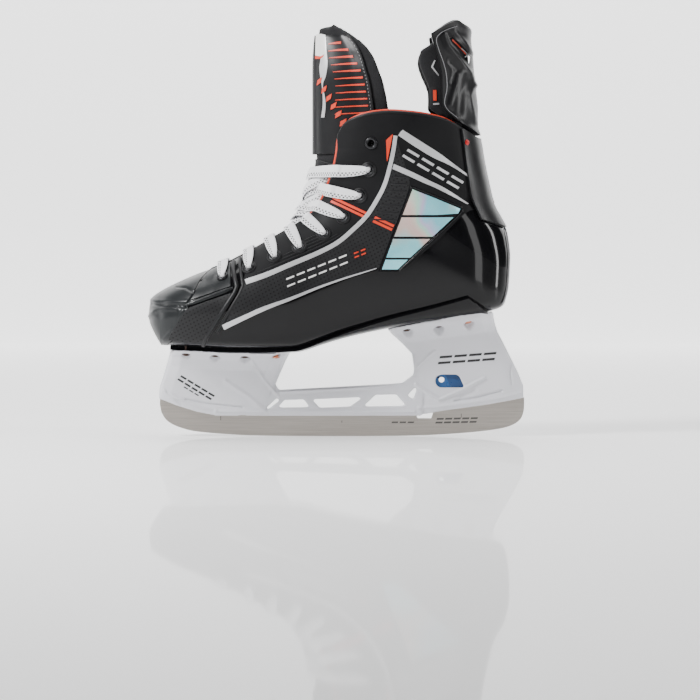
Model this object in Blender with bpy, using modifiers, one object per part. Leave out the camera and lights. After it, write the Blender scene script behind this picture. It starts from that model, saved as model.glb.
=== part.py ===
"""A senior ice hockey skate (left foot), modelled as its separate pieces.

Frame: +Z up, toe towards -X, lateral side towards -Y, origin on the ground under the middle of the skate.
Lengths in this file are millimetres and are turned into metres where a mesh or a curve is made.
The boot's outer surface is one formula, boot(s, t, side): s runs from the toe tip round the heel to the
collar, and t runs from the lace edge down one side to the middle of the sole or of the heel's back.
"""

import functools
import math

import bmesh
import bpy
import numpy as np
from mathutils import Matrix, Vector

MM = 0.001
GAP = 0.35  # air between pieces that touch on the real skate
LATERAL, MEDIAL = -1, 1
SIDE_NAMES = {LATERAL: "lateral", MEDIAL: "medial"}

# Driving dimensions of the boot.
TOE_X = -150.0
HINGE_X, HINGE_Z = -65.0, 229.0  # the point that the sections fan around, in front of the ankle
TOE_CAP_LENGTH = 55.0  # length of the rounded toe outline
BALL_HALF_WIDTH = 50.0
TOE_ROUNDNESS = 2.6
SHELL_WALL = 3.0
TOE_WALL = 2.6
LINER_WALL = 4.0
BOARD_WALL = 2.0
FOOTBED_WALL = 4.0

# Side view outlines of the boot, (x, z).
SOLE_LINE = [
    (-150.0, 96.0), (-149.4, 91.0), (-146.5, 84.5), (-140.5, 74.5), (-136.0, 72.8), (-104.0, 71.8),
    (-77.0, 70.8),
    (-37.0, 70.6), (-25.5, 72.2), (-12.0, 76.6), (6.0, 81.9), (29.0, 87.2), (50.0, 90.9), (88.0, 95.3),
    (121.0, 99.8), (130.5, 102.6), (135.0, 107.5), (137.8, 126.4), (138.4, 143.2), (136.0, 160.0),
    (131.5, 170.0), (127.0, 177.8), (122.5, 187.0), (119.6, 198.0), (114.8, 220.8), (113.2, 232.0),
]
LACE_LINE = [
    (-150.0, 97.0), (-149.6, 104.0), (-147.6, 111.0), (-138.0, 117.6), (-125.0, 124.0), (-112.0, 129.6),
    (-98.0, 134.6), (-85.5, 139.5), (-77.0, 143.8), (-64.0, 150.5), (-47.0, 160.4), (-29.0, 170.6),
    (-18.0, 178.8), (-9.0, 191.0), (-3.6, 204.8), (0.0, 217.2), (2.4, 232.0),
]
BACK_SLOPE = -0.2  # how the boot's back leans above the hinge height
FRONT_SLOPE = 0.1
COLLAR = [
    (0.0, 236.0), (0.075, 239.5), (0.11, 247.0), (0.17, 251.4), (0.30, 255.4), (0.42, 256.5), (0.55, 255.6),
    (0.70, 253.4), (0.80, 250.6), (0.90, 244.5), (1.0, 237.5),
]

# How a section changes along the boot: (s, value). s = 1 is the ball, 2 the ankle and 3 the collar.
HALF_WIDTH = [
    (0.647, 50.0), (0.85, 51.0), (1.0, 50.4), (1.11, 48.6), (1.29, 44.6), (1.44, 42.0), (1.56, 40.6),
    (1.66, 40.2), (1.76, 41.0), (1.88, 43.2), (2.0, 44.8), (3.0, 46.0),
]
SOLE_TAPER = [(0.0, 0.10), (0.65, 0.10), (1.0, 0.13), (1.29, 0.22), (1.44, 0.20), (1.56, 0.13), (1.66, 0.05),
              (1.76, 0.0), (3.0, 0.0)]
OUTER_POWER = [(0.0, 3.6), (0.3, 5.0), (1.1, 6.0), (1.4, 5.2), (1.52, 4.2), (1.62, 3.2), (1.72, 2.6),
               (1.85, 2.3),
               (3.0, 2.3)]
INNER_POWER = [(0.0, 2.3), (0.7, 2.2), (1.5, 2.3), (2.0, 2.7), (3.0, 2.8)]
WIDEST_AT = [(0.0, 0.52), (0.6, 0.56), (1.0, 0.62), (1.3, 0.60), (1.64, 0.50), (2.0, 0.45), (3.0, 0.45)]
LACE_GAP = [(0.0, 0.0), (0.53, 0.0), (0.585, 8.0), (0.64, 13.0), (0.8, 15.0), (1.0, 17.0), (1.4, 21.0),
            (1.7, 27.0),
            (1.85, 31.0), (2.0, 33.0), (3.0, 33.5)]
CENTRE_SHIFT = [(-150.0, 5.0), (-115.0, 2.6), (-85.0, 0.2), (-45.0, -1.4), (10.0, 0.0), (150.0, 0.0)]
S_COLLAR = 3.0


def smooth(table):
    """A curve through (position, value) pairs, with the ends held level outside them."""
    xs = np.array([p[0] for p in table], float)
    ys = np.array([p[1] for p in table], float)
    secants = np.diff(ys) / np.diff(xs)
    slopes = np.zeros(len(xs))
    for i in range(1, len(xs) - 1):
        if secants[i - 1] * secants[i] > 0:
            slopes[i] = 2 * secants[i - 1] * secants[i] / (secants[i - 1] + secants[i])

    def value(x):
        x = min(max(x, xs[0]), xs[-1])
        i = min(max(int(np.searchsorted(xs, x)) - 1, 0), len(xs) - 2)
        h = xs[i + 1] - xs[i]
        u = (x - xs[i]) / h
        a = ys[i] * (1 + 2 * u) * (1 - u) ** 2 + slopes[i] * h * u * (1 - u) ** 2
        return a + ys[i + 1] * u * u * (3 - 2 * u) + slopes[i + 1] * h * u * u * (u - 1)

    return value


def spline(points, steps=8):
    """A dense polyline of a smooth curve through the points."""
    p = np.array([points[0], *points, points[-1]], float)
    out = []
    for i in range(1, len(p) - 2):
        for k in range(steps):
            u = k / steps
            a, b, c, d = p[i - 1], p[i], p[i + 1], p[i + 2]
            out.append(0.5 * (2 * b + (c - a) * u + (2 * a - 5 * b + 4 * c - d) * u**2
                              + (3 * b - a - 3 * c + d) * u**3))
    out.append(p[-1])
    return np.array(out)


def lerp(a, b, share):
    return round(a + (b - a) * share, 5)


def hit(origin, direction, line):
    """How far along a ray in the side view a polyline is crossed, or None."""
    a, b = line[:-1], line[1:]
    e = b - a
    d = np.array(direction)
    cross = d[0] * e[:, 1] - d[1] * e[:, 0]
    cross[np.abs(cross) < 1e-9] = 1e-9
    w = a - np.array(origin)
    along = (w[:, 0] * e[:, 1] - w[:, 1] * e[:, 0]) / cross
    share = (w[:, 0] * d[1] - w[:, 1] * d[0]) / cross
    good = (share >= -1e-6) & (share <= 1 + 1e-6) & (along > 0)
    return float(along[good].max()) if good.any() else None


half_width_of = smooth(HALF_WIDTH)
sole_taper_of = smooth(SOLE_TAPER)
outer_power_of = smooth(OUTER_POWER)
inner_power_of = smooth(INNER_POWER)
widest_at_of = smooth(WIDEST_AT)
lace_gap_of = smooth(LACE_GAP)
centre_shift_of = smooth(CENTRE_SHIFT)
collar_of = smooth(COLLAR)
sole_polyline = spline(SOLE_LINE)
lace_polyline = spline(LACE_LINE)


def s_of_x(x):
    """The section that cuts the toe zone at this x."""
    return (x - TOE_X) / (HINGE_X - TOE_X)


@functools.lru_cache(maxsize=None)
def section_width(s):
    x = TOE_X + s * (HINGE_X - TOE_X)
    reach = (TOE_X + TOE_CAP_LENGTH - x) / TOE_CAP_LENGTH
    if reach > 0:
        reach = min(reach, 0.9999)
        return BALL_HALF_WIDTH * (1 - reach**TOE_ROUNDNESS) ** (1 / TOE_ROUNDNESS)
    return half_width_of(s)


@functools.lru_cache(maxsize=None)
def ray(s):
    """(origin, direction) of section s in the side view, for s up to 2."""
    if s <= 1:
        return (TOE_X + s * (HINGE_X - TOE_X), HINGE_Z), (0.0, -1.0)
    angle = math.radians(90 * min(s - 1, 1.0))
    return (HINGE_X, HINGE_Z), (math.sin(angle), -math.cos(angle))


def lace_share(s):
    """Where the lace edge lies between the crown and the sole, as a share."""
    w, m = section_width(s), inner_power_of(s)
    return widest_at_of(s) * (1 - (1 - (lace_gap_of(s) / w) ** m) ** (1 / m)) if lace_gap_of(s) < w else 0.0


@functools.lru_cache(maxsize=None)
def reach_of(s):
    """(distance to the crown, distance to the sole or back) along section s's ray."""
    origin, direction = ray(min(s, 2.0))
    edge = hit(origin, direction, lace_polyline) or HINGE_Z - 97.0
    outer = hit(origin, direction, sole_polyline) or HINGE_Z - 96.0
    share = lace_share(min(s, 2.0))
    return (edge - share * outer) / (1 - share), outer


def side_view(s, share):
    """(x, z) of a point of section s: share 0 is the crown over the laces, and 1 the sole or the back."""
    crown, outer = reach_of(s)
    if s <= 2:
        (ox, oz), (dx, dz) = ray(s)
        r = crown + share * (outer - crown)
        return ox + dx * r, oz + dz * r
    z = HINGE_Z + (s - 2) * (collar_of(share) - HINGE_Z)
    lift = z - HINGE_Z
    crown += FRONT_SLOPE * lift
    outer += BACK_SLOPE * lift
    return HINGE_X + crown + share * (outer - crown), z


def outline(s, angle):
    """(share, half width) at an angle round section s, which is below 0 on the crown's side."""
    w, c = section_width(s), widest_at_of(s)
    if angle < 0:
        power = 2 / inner_power_of(s)
        return c * (1 - math.sin(-angle) ** power), w * math.cos(angle) ** power
    power = 2 / outer_power_of(s)
    beyond = math.sin(angle) ** power
    return c + (1 - c) * beyond, w * max(math.cos(angle), 0.0) ** power * (1 - sole_taper_of(s) * beyond)


@functools.lru_cache(maxsize=None)
def walk(s, gap):
    """(arc lengths, angles) round half of section s, from the lace gap's edge to the middle of the sole."""
    w, m = section_width(s), inner_power_of(s)
    start = -math.acos(min(gap / w, 1.0) ** (m / 2))
    ease = np.linspace(0, 1, 90)
    angles = np.concatenate([start * (1 - ease[:-1]) ** 1.5, math.pi / 2 * (ease**2.4)])
    crown, outer = reach_of(s)
    points = []
    for a in angles:
        share, half = outline(s, float(a))
        points.append((share * (outer - crown), half))
    steps = np.linalg.norm(np.diff(np.array(points), axis=0), axis=1)
    return np.concatenate([[0], np.cumsum(steps)]), angles


def boot(s, t, side, closed=False):
    """A point of the boot's outer surface. closed brings t = 0 to the crown's middle line."""
    lengths, angles = walk(s, 0.0 if closed else lace_gap_of(s))
    angle = float(np.interp(t * lengths[-1], lengths, angles))
    share, half = outline(s, angle)
    x, z = side_view(s, share)
    return Vector((x, side * half + centre_shift_of(x), z))


def boot_normal(s, t, side, closed=False):
    """The outward normal of the boot's surface."""
    ds, dt = 0.01, 0.012
    s_low, s_high = max(s - ds, 0.004), min(s + ds, S_COLLAR)
    t_low, t_high = max(t - dt, 0.0), min(t + dt, 0.995)
    along = boot(s_high, t, side, closed) - boot(s_low, t, side, closed)
    down = boot(s, t_high, side, closed) - boot(s, t_low, side, closed)
    return (along.cross(down) * side).normalized()


def boot_offset(s, t, side, out, closed=False):
    """A point this far outside the boot's surface, or inside it if negative."""
    return boot(s, t, side, closed) + boot_normal(s, t, side, closed) * out


def find_on_side(x, z, side):
    """(s, t) of the boot's surface where the side view is at (x, z)."""
    best = None
    s_range, t_range = (0.3, S_COLLAR), (0.0, 0.9)
    for _ in range(5):
        for s in np.linspace(*s_range, 15):
            for t in np.linspace(*t_range, 15):
                p = boot(round(float(s), 5), float(t), side)
                miss = (p.x - x) ** 2 + (p.z - z) ** 2
                if best is None or miss < best[0]:
                    best = (miss, float(s), float(t))
        ds, dt = (s_range[1] - s_range[0]) / 7, (t_range[1] - t_range[0]) / 7
        s_range = (max(best[1] - ds, 0.3), min(best[1] + ds, S_COLLAR))
        t_range = (max(best[2] - dt, 0.0), min(best[2] + dt, 0.9))
    return best[1], best[2]


# ---------------------------------------------------------------- scene helpers

def clear_scene():
    for obj in list(bpy.data.objects):
        bpy.data.objects.remove(obj)


def collection(name):
    made = bpy.data.collections.new(name)
    bpy.context.scene.collection.children.link(made)
    return made


def material(name, colour, roughness, metallic=0.0):
    made = bpy.data.materials.new(name)
    made.use_nodes = True
    shader = made.node_tree.nodes["Principled BSDF"]
    shader.inputs["Base Color"].default_value = (*colour, 1.0)
    shader.inputs["Roughness"].default_value = roughness
    shader.inputs["Metallic"].default_value = metallic
    return made


clear_scene()
PARTS = collection("ice_skate")
CUTTERS = collection("cutters")
MATERIALS = {
    "gloss_black": material("gloss_black", (0.012, 0.012, 0.013), 0.12),
    "toe_black": material("toe_black", (0.03, 0.032, 0.034), 0.25),
    "matte_black": material("matte_black", (0.02, 0.02, 0.022), 0.55),
    "liner_black": material("liner_black", (0.03, 0.03, 0.032), 0.9),
    "piping_orange": material("piping_orange", (0.80, 0.12, 0.05), 0.5),
    "felt": material("felt", (0.05, 0.05, 0.052), 0.95),
    "board_grey": material("board_grey", (0.25, 0.24, 0.22), 0.8),
    "foam": material("foam", (0.08, 0.08, 0.085), 0.9),
    "white_plastic": material("white_plastic", (0.78, 0.78, 0.80), 0.35),
    "steel": material("steel", (0.56, 0.54, 0.51), 0.3, 1.0),
    "copper": material("copper", (0.65, 0.33, 0.2), 0.4, 1.0),
    "eyelet_black": material("eyelet_black", (0.04, 0.04, 0.04), 0.3, 0.6),
    "blue_plastic": material("blue_plastic", (0.01, 0.13, 0.42), 0.35),
    "silver_trim": material("silver_trim", (0.72, 0.72, 0.73), 0.35, 0.5),
    "lace_white": material("lace_white", (0.85, 0.85, 0.86), 0.8),
}


def place(obj, slot, group=None):
    """Puts an object in its collection with its material."""
    (group or PARTS).objects.link(obj)
    obj.data.materials.append(MATERIALS[slot])
    return obj


def mesh_object(name, bm, slot, group=None, closed=True):
    if closed:
        bmesh.ops.recalc_face_normals(bm, faces=bm.faces)
    data = bpy.data.meshes.new(name)
    bm.to_mesh(data)
    bm.free()
    data.shade_smooth()
    data.set_sharp_from_angle(angle=math.radians(35))
    return place(bpy.data.objects.new(name, data), slot, group)


def grid(name, rows, slot, loop=False, cap_start=False, cap_end=False):
    """A surface through rows of points. loop joins each row's ends, and the caps close the end rows."""
    bm = bmesh.new()
    made = [[bm.verts.new(p * MM) for p in row] for row in rows]
    for a, b in zip(made, made[1:]):
        n = len(a)
        for i in range(n if loop else n - 1):
            j = (i + 1) % n
            bm.faces.new((a[i], a[j], b[j], b[i]))
    for capped, ring in ((cap_start, made[0][::-1]), (cap_end, made[-1])):
        if capped:
            tip = bm.verts.new(sum((v.co for v in ring), Vector()) / len(ring))
            for i in range(len(ring)):
                bm.faces.new((tip, ring[i], ring[(i + 1) % len(ring)]))
    bmesh.ops.remove_doubles(bm, verts=bm.verts, dist=0.02 * MM)
    return mesh_object(name, bm, slot, closed=False)


def solidify(obj, wall, outward=False):
    """Gives an open surface its wall."""
    mod = obj.modifiers.new("wall", "SOLIDIFY")
    mod.thickness = wall * MM
    mod.offset = 1.0 if outward else -1.0
    mod.use_even_offset = False
    return mod


def flat_outline(name, outlines, thickness, slot=None, group=None):
    """A plate in the side view: closed outlines of (x, z), of which the later ones are holes."""
    data = bpy.data.curves.new(name, "CURVE")
    data.dimensions = "2D"
    data.fill_mode = "BOTH"
    data.extrude = thickness / 2 * MM
    for points in outlines:
        line = data.splines.new("POLY")
        line.points.add(len(points) - 1)
        for p, (x, z) in zip(line.points, points):
            p.co = (x * MM, z * MM, 0, 1)
        line.use_cyclic_u = True
    curve = bpy.data.objects.new(name + "_curve", data)
    bpy.context.scene.collection.objects.link(curve)
    curve.rotation_euler = (math.radians(90), 0, 0)
    return as_mesh(curve, name, slot, group)


def as_mesh(curve, name, slot=None, group=None):
    """Turns a curve object into a welded mesh object in the same place, and removes the curve."""
    bpy.context.view_layer.update()
    evaluated = curve.evaluated_get(bpy.context.evaluated_depsgraph_get())
    data = bpy.data.meshes.new_from_object(evaluated)
    data.name = name
    data.transform(curve.matrix_world)
    bpy.data.objects.remove(curve)
    bm = bmesh.new()
    bm.from_mesh(data)
    bmesh.ops.remove_doubles(bm, verts=bm.verts, dist=0.01 * MM)
    bmesh.ops.recalc_face_normals(bm, faces=bm.faces)
    bm.to_mesh(data)
    bm.free()
    data.materials.clear()
    made = bpy.data.objects.new(name, data)
    if slot is None:
        CUTTERS.objects.link(made)
        return as_cutter(made)
    return place(made, slot, group)


def as_cutter(obj):
    obj.hide_render = True
    obj.display_type = "WIRE"
    return obj


def boolean(obj, other, operation):
    mod = obj.modifiers.new(operation.lower() + "_" + other.name, "BOOLEAN")
    mod.operation = operation
    mod.object = other
    return mod


def cylinders(name, places, radius, length, segments=12):
    """One cutter of separate cylinders, each at (centre, axis)."""
    bm = bmesh.new()
    for centre, axis in places:
        turn = axis.to_track_quat("Z", "Y").to_matrix().to_4x4()
        bmesh.ops.create_cone(bm, cap_ends=True, segments=segments,
                              radius1=radius * MM, radius2=radius * MM,
                              depth=length * MM, matrix=Matrix.Translation(centre * MM) @ turn)
    data = bpy.data.meshes.new(name)
    bm.to_mesh(data)
    bm.free()
    made = bpy.data.objects.new(name, data)
    CUTTERS.objects.link(made)
    return as_cutter(made)


def turned(name, profile, centre, axis, slot, steps=12):
    """A turned piece: (radius, height) profile, outer side from top to bottom, spun about its axis."""
    data = bpy.data.meshes.new(name)
    verts = [Vector((r, 0, h)) * MM for r, h in profile]
    closed_ring = all(r > 0 for r, _ in profile)
    edges = [(i, i + 1) for i in range(len(verts) - 1)] + ([(len(verts) - 1, 0)] if closed_ring else [])
    data.from_pydata(verts, edges, [])
    obj = place(bpy.data.objects.new(name, data), slot)
    obj.location = centre * MM
    obj.rotation_mode = "QUATERNION"
    obj.rotation_quaternion = axis.to_track_quat("Z", "Y")
    mod = obj.modifiers.new("turn", "SCREW")
    mod.steps = mod.render_steps = steps
    mod.use_merge_vertices = True
    mod.merge_threshold = 0.00005
    mod.use_smooth_shade = True
    return obj


def tube(name, points, radius, slot, resolution=2):
    """A round cord through points, given in millimetres."""
    data = bpy.data.curves.new(name, "CURVE")
    data.dimensions = "3D"
    data.bevel_depth = radius * MM
    data.bevel_resolution = resolution
    data.use_fill_caps = True
    line = data.splines.new("POLY")
    line.points.add(len(points) - 1)
    for p, co in zip(line.points, points):
        p.co = (*(Vector(co) * MM), 1)
    return place(bpy.data.objects.new(name, data), slot)


# ---------------------------------------------------------------- the boot

TOE_SEAM = smooth([(0.0, -99.0), (0.25, -108.0), (0.45, -116.5), (0.62, -126.0), (0.74, -133.0),
                   (1.0, -134.0)])


def toe_cap():
    """The moulded toe cap: one closed bowl, from the tip to its slanting seam."""
    rows = []
    around = np.linspace(0, 1, 12)
    for u in [0.012, 0.04, 0.10, 0.19, 0.31, 0.46, 0.64, 0.82, 1.0]:
        row = []
        for side in (LATERAL, MEDIAL):
            for t in around if side == LATERAL else around[-2:0:-1]:
                s = s_of_x(TOE_X + u * (TOE_SEAM(float(t)) - 2 * GAP - TOE_X))
                row.append(boot(round(s, 5), float(t), side, closed=True))
        rows.append(row)
    obj = grid("toe_cap", rows, "toe_black", loop=True, cap_start=True)
    solidify(obj, TOE_WALL)


SPREAD = smooth([(0.0, 0.0), (0.28, 0.24), (0.48, 0.44), (0.84, 0.66), (1.0, 1.0)])  # rows crowd at the heel
ROWS = [SPREAD(float(u)) for u in np.linspace(0, 1, 24)]
AROUND = [0.0, 0.07, 0.15, 0.28, 0.42, 0.56, 0.66, 0.73, 0.79, 0.86, 0.93, 1.0]


def section_at(row, t):
    """The section of a row: the first row follows the toe cap's seam and the last the collar."""
    first = s_of_x(TOE_SEAM(t) + GAP)
    return round(float(first + (S_COLLAR - first) * row), 5)


def boot_rows(offset, s_from=0.0, s_to=S_COLLAR, around=tuple(AROUND), sides=(LATERAL, MEDIAL),
              closed=False):
    """Rows over the boot's surface, moved outwards by offset.

    Layers share these rows, so that their facets lie parallel. With both sides, a row goes down the lateral
    side and up the medial one.
    """
    rows = []
    for share in ROWS:
        if not s_from <= section_at(share, 1.0) <= s_to:
            continue
        row = []
        for side in sides:
            ts = around if side == sides[0] else around[-2::-1]
            if closed and side != sides[0]:
                ts = around[-2:0:-1]
            row += [boot_offset(section_at(share, t), min(t, 0.9999), side, offset, closed) for t in ts]
        rows.append(row)
    return rows


EYELETS = [
    (-89.5, 127.6), (-68.5, 134.8), (-48.5, 143.6), (-29.0, 151.0), (-9.8, 161.8), (5.6, 175.2),
    (18.6, 191.8),
    (25.6, 212.2), (27.5, 232.8),
]
EYELET_BORE, EYELET_BARREL, EYELET_FLANGE = 2.5, 3.3, 4.7
LACED = 8  # eyelets in use on each side; the top pair stays open
LINER_FACE = SHELL_WALL + 1.1  # depth of the liner's outer face
LACE_RADIUS = 1.3
LACE_DEPTH = LINER_FACE + LINER_WALL + 0.5 + LACE_RADIUS  # of the lace's middle, behind the liner
TONGUE_DEPTH = LACE_DEPTH + LACE_RADIUS + 0.6


@functools.lru_cache(maxsize=None)
def eyelet_section(index, side):
    return find_on_side(*EYELETS[index], side)


def eyelet_place(index, side):
    """(point on the boot's surface, outward normal) of an eyelet."""
    s, t = eyelet_section(index, side)
    return boot(s, t, side), boot_normal(s, t, side)


ALL_EYELETS = [(i, side) for i in range(len(EYELETS)) for side in (LATERAL, MEDIAL)]


def eyelets():
    """Pressed metal rings that line the lace holes, through the shell and the liner."""
    bottom = -(LINER_FACE + LINER_WALL)
    profile = [
        (EYELET_BORE, 1.6), (EYELET_FLANGE - 0.9, 1.6), (EYELET_FLANGE, 0.7), (EYELET_BARREL, 0.7),
        (EYELET_BARREL, bottom), (EYELET_BORE, bottom),
    ]
    for i, side in ALL_EYELETS:
        centre, axis = eyelet_place(i, side)
        turned(f"eyelet_{SIDE_NAMES[side]}_{i + 1}", profile, centre, axis, "eyelet_black", steps=10)


RIVET_HEAD, RIVET_SHANK = 3.3, 1.5
FRONT_RIVETS = [(x, 21.0) for x in (-119.0, -96.0, -72.4, -47.5)]
REAR_RIVETS = [(x, 15.0) for x in (55.4, 80.0, 104.0)]
OUTSOLE_WALL = 1.6
OUTSOLE_GAP = 0.8
HOLDER_TOP = OUTSOLE_GAP + OUTSOLE_WALL + 3.5 * GAP  # from the boot's surface to the holder's flanges
FLANGE_WALL = 2.4


@functools.lru_cache(maxsize=None)
def rivet_place(x, y, side):
    """(point on the boot's underside, outward normal) under a rivet."""
    best = None
    s_range, t_range = (0.2, 1.72), (0.80, 0.995)
    for _ in range(4):
        for s in np.linspace(*s_range, 15):
            for t in np.linspace(*t_range, 9):
                p = boot(round(float(s), 5), float(t), side)
                miss = (p.x - x) ** 2 + (p.y - side * y) ** 2
                if best is None or miss < best[0]:
                    best = (miss, float(s), float(t))
        ds, dt = (s_range[1] - s_range[0]) / 7, (t_range[1] - t_range[0]) / 4
        s_range = (max(best[1] - ds, 0.2), min(best[1] + ds, 1.72))
        t_range = (max(best[2] - dt, 0.80), min(best[2] + dt, 0.995))
    return boot(best[1], best[2], side), boot_normal(best[1], best[2], side)


ALL_RIVETS = [(x, y, side) for x, y in FRONT_RIVETS + REAR_RIVETS for side in (LATERAL, MEDIAL)]


def holder_rivets():
    """Copper rivets that clench the holder's flanges to the outsole and the shell."""
    head = HOLDER_TOP + FLANGE_WALL + GAP
    profile = [
        (0.0, head + 1.3), (RIVET_HEAD - 0.9, head + 1.3), (RIVET_HEAD, head), (RIVET_SHANK, head),
        (RIVET_SHANK, -SHELL_WALL + 0.3), (0.0, -SHELL_WALL + 0.3),
    ]
    for n, (x, y, side) in enumerate(ALL_RIVETS):
        centre, axis = rivet_place(x, y, side)
        turned(f"holder_rivet_{n + 1}", profile, centre, axis, "copper", steps=10)


GUARD_RIVET = (101.0, 233.5)


def guard_rivet_place(side):
    s, t = find_on_side(*GUARD_RIVET, side)
    return boot(s, t, side), boot_normal(s, t, side)


def guard_rivets():
    """One rivet a side, through the tendon guard's base and the shell."""
    head = 3 * GAP + GUARD_WALL
    profile = [(0.0, head + 1.0), (2.2, head + 1.0), (3.0, head), (1.4, head), (1.4, -2.6), (0.0, -2.6)]
    for side in (LATERAL, MEDIAL):
        centre, axis = guard_rivet_place(side)
        turned(f"guard_rivet_{SIDE_NAMES[side]}", profile, centre, axis, "silver_trim", steps=10)


def boot_shell(cutters):
    """The boot's one-piece composite shell: quarters, ankle and underfoot."""
    obj = grid("boot_shell", boot_rows(0.0), "gloss_black")
    solidify(obj, SHELL_WALL)
    for cutter in cutters:
        boolean(obj, cutter, "DIFFERENCE")


UNDERFOOT = [(-160.0, 55.0), (-160.0, 86.0), (-100.0, 86.0), (-30.0, 87.0), (30.0, 102.0), (95.0, 113.0),
             (116.0, 114.0), (122.0, 108.0), (122.0, 55.0)]


def liners(cutter):
    """The padded lining of each side, meeting at the heel seam and open underfoot."""
    underfoot_space = flat_outline("underfoot_space", [UNDERFOOT], 200.0)
    for side in (LATERAL, MEDIAL):
        rows = boot_rows(-LINER_FACE, 0.22, 2.98, tuple(AROUND[1:-1] + [0.993]), (side,))
        obj = grid("liner_" + SIDE_NAMES[side], rows, "liner_black")
        if side == MEDIAL:
            obj.data.flip_normals()
        solidify(obj, LINER_WALL)
        boolean(obj, underfoot_space, "DIFFERENCE")
        boolean(obj, cutter, "DIFFERENCE")


def underfoot():
    """The outsole under the shell, and the board and footbed inside it."""
    under = tuple(AROUND[-3:])
    outsole = grid("outsole", boot_rows(OUTSOLE_GAP, 0.0, 1.62, under), "gloss_black")
    solidify(outsole, OUTSOLE_WALL, outward=True)
    boolean(outsole, RIVET_HOLES, "DIFFERENCE")
    board = grid("insole_board", boot_rows(-SHELL_WALL - 0.8, 0.36, 1.56, under), "board_grey")
    solidify(board, BOARD_WALL)
    depth = SHELL_WALL + 1.6 + BOARD_WALL
    footbed = grid("footbed", boot_rows(-depth, 0.38, 1.56, under), "foam")
    solidify(footbed, FOOTBED_WALL)


# ---------------------------------------------------------------- the tongue

TONGUE_LINE = spline([
    (-101.0, 128.0), (-92.0, 131.0), (-75.0, 138.5), (-58.0, 148.0), (-44.0, 157.5), (-34.0, 168.0),
    (-26.5, 182.0),
    (-21.0, 198.0), (-18.2, 212.0), (-17.2, 224.0), (-17.2, 240.0),
])
TONGUE_START, TONGUE_SPLIT_Z, TONGUE_TOP_Z = 0.62, 222.0, 326.5
TONGUE_WALL = 7.0
TONGUE_PIVOT = (-12.0, 0.0, 219.0)
TONGUE_REACH = smooth([(0.6, 0.20), (0.9, 0.24), (1.3, 0.26), (1.7, 0.30), (2.0, 0.34)])
TONGUE_BACK = smooth([(222.0, 43.0), (257.0, 41.5), (273.0, 39.0), (283.0, 36.8), (292.0, 33.5),
                      (301.0, 30.0),
                      (309.3, 24.5), (315.5, 18.0), (321.0, 9.5), (325.0, -1.0), (326.5, -9.0)])
TONGUE_WIDTH = smooth([(222.0, 0.94), (245.0, 0.92), (285.0, 0.88), (305.0, 0.74), (318.0, 0.52),
                       (326.5, 0.26)])


def tongue_point(s, k, side, above=0.0):
    """A point of the lower tongue's outer face: k runs from its middle to its side edge."""
    t = TONGUE_REACH(s) * k
    lengths, _ = walk(s, 0.0)
    gap_t = lace_gap_of(s) * 1.15 / lengths[-1]
    (ox, oz), direction = ray(s)
    centre = hit((ox, oz), direction, TONGUE_LINE)
    middle_depth = centre - reach_of(s)[0]
    share = min(t / gap_t, 1.0)
    ease = share * share * (3 - 2 * share)
    depth = middle_depth + (TONGUE_DEPTH - middle_depth) * ease
    return boot_offset(s, t, side, above - depth, closed=True)


def tongue_rows(s_from, s_to, steps, count=7):
    rows = []
    for s in np.linspace(s_from, s_to, steps):
        half = np.linspace(0, 1, count)
        row = [tongue_point(round(float(s), 5), float(k), LATERAL) for k in half[::-1]]
        row += [tongue_point(round(float(s), 5), float(k), MEDIAL) for k in half[1:]]
        rows.append(row)
    return rows


def upper_tongue_point(z, k, side, above=0.0):
    """A point of the tongue's outer face over the split: its plan shape, scaled as it rises."""
    base = tongue_point(2.0, k, side, above)
    front = tongue_point(2.0, 0.0, side, above)
    back = tongue_point(2.0, 1.0, side, above)
    depth = (TONGUE_BACK(z) - front.x) / (back.x - front.x)
    lean = 2.6 * max(0.0, (z - 290.0) / 36.0) ** 2
    return Vector((front.x + lean + (base.x - front.x) * depth, base.y * TONGUE_WIDTH(z), z))


def upper_rows(z_from, z_to, steps, k_max=1.0, count=7, above=0.0):
    rows = []
    for z in z_from + (z_to - z_from) * np.linspace(0, 1, steps) ** 0.8:
        half = np.linspace(0, k_max, count)
        row = [upper_tongue_point(float(z), float(k), LATERAL, above) for k in half[::-1]]
        row += [upper_tongue_point(float(z), float(k), MEDIAL, above) for k in half[1:]]
        rows.append(row)
    return rows


TONGUE_PIVOT = (-12.0, 0.0, 219.0)


def tongue():
    """The tongue in two pieces, so that its upper half can flex, and the moulded face on the upper half."""
    s_split = 1 + math.degrees(math.atan2(-12.0 - HINGE_X, HINGE_Z - TONGUE_PIVOT[2])) / 90
    lower = grid("tongue_lower", tongue_rows(TONGUE_START, s_split, 15), "felt")
    lower.data.flip_normals()
    solidify(lower, TONGUE_WALL)
    upper = grid("tongue_upper", upper_rows(TONGUE_SPLIT_Z, TONGUE_TOP_Z, 10), "felt")
    upper.data.flip_normals()
    solidify(upper, TONGUE_WALL)
    face_rows = upper_rows(TONGUE_SPLIT_Z + 3, TONGUE_TOP_Z - 7, 9, 0.80, 7, 1.3)
    face = grid("tongue_face", face_rows, "gloss_black")
    face.data.flip_normals()
    solidify(face, 1.2, outward=True)


# ---------------------------------------------------------------- the tendon guard

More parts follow.
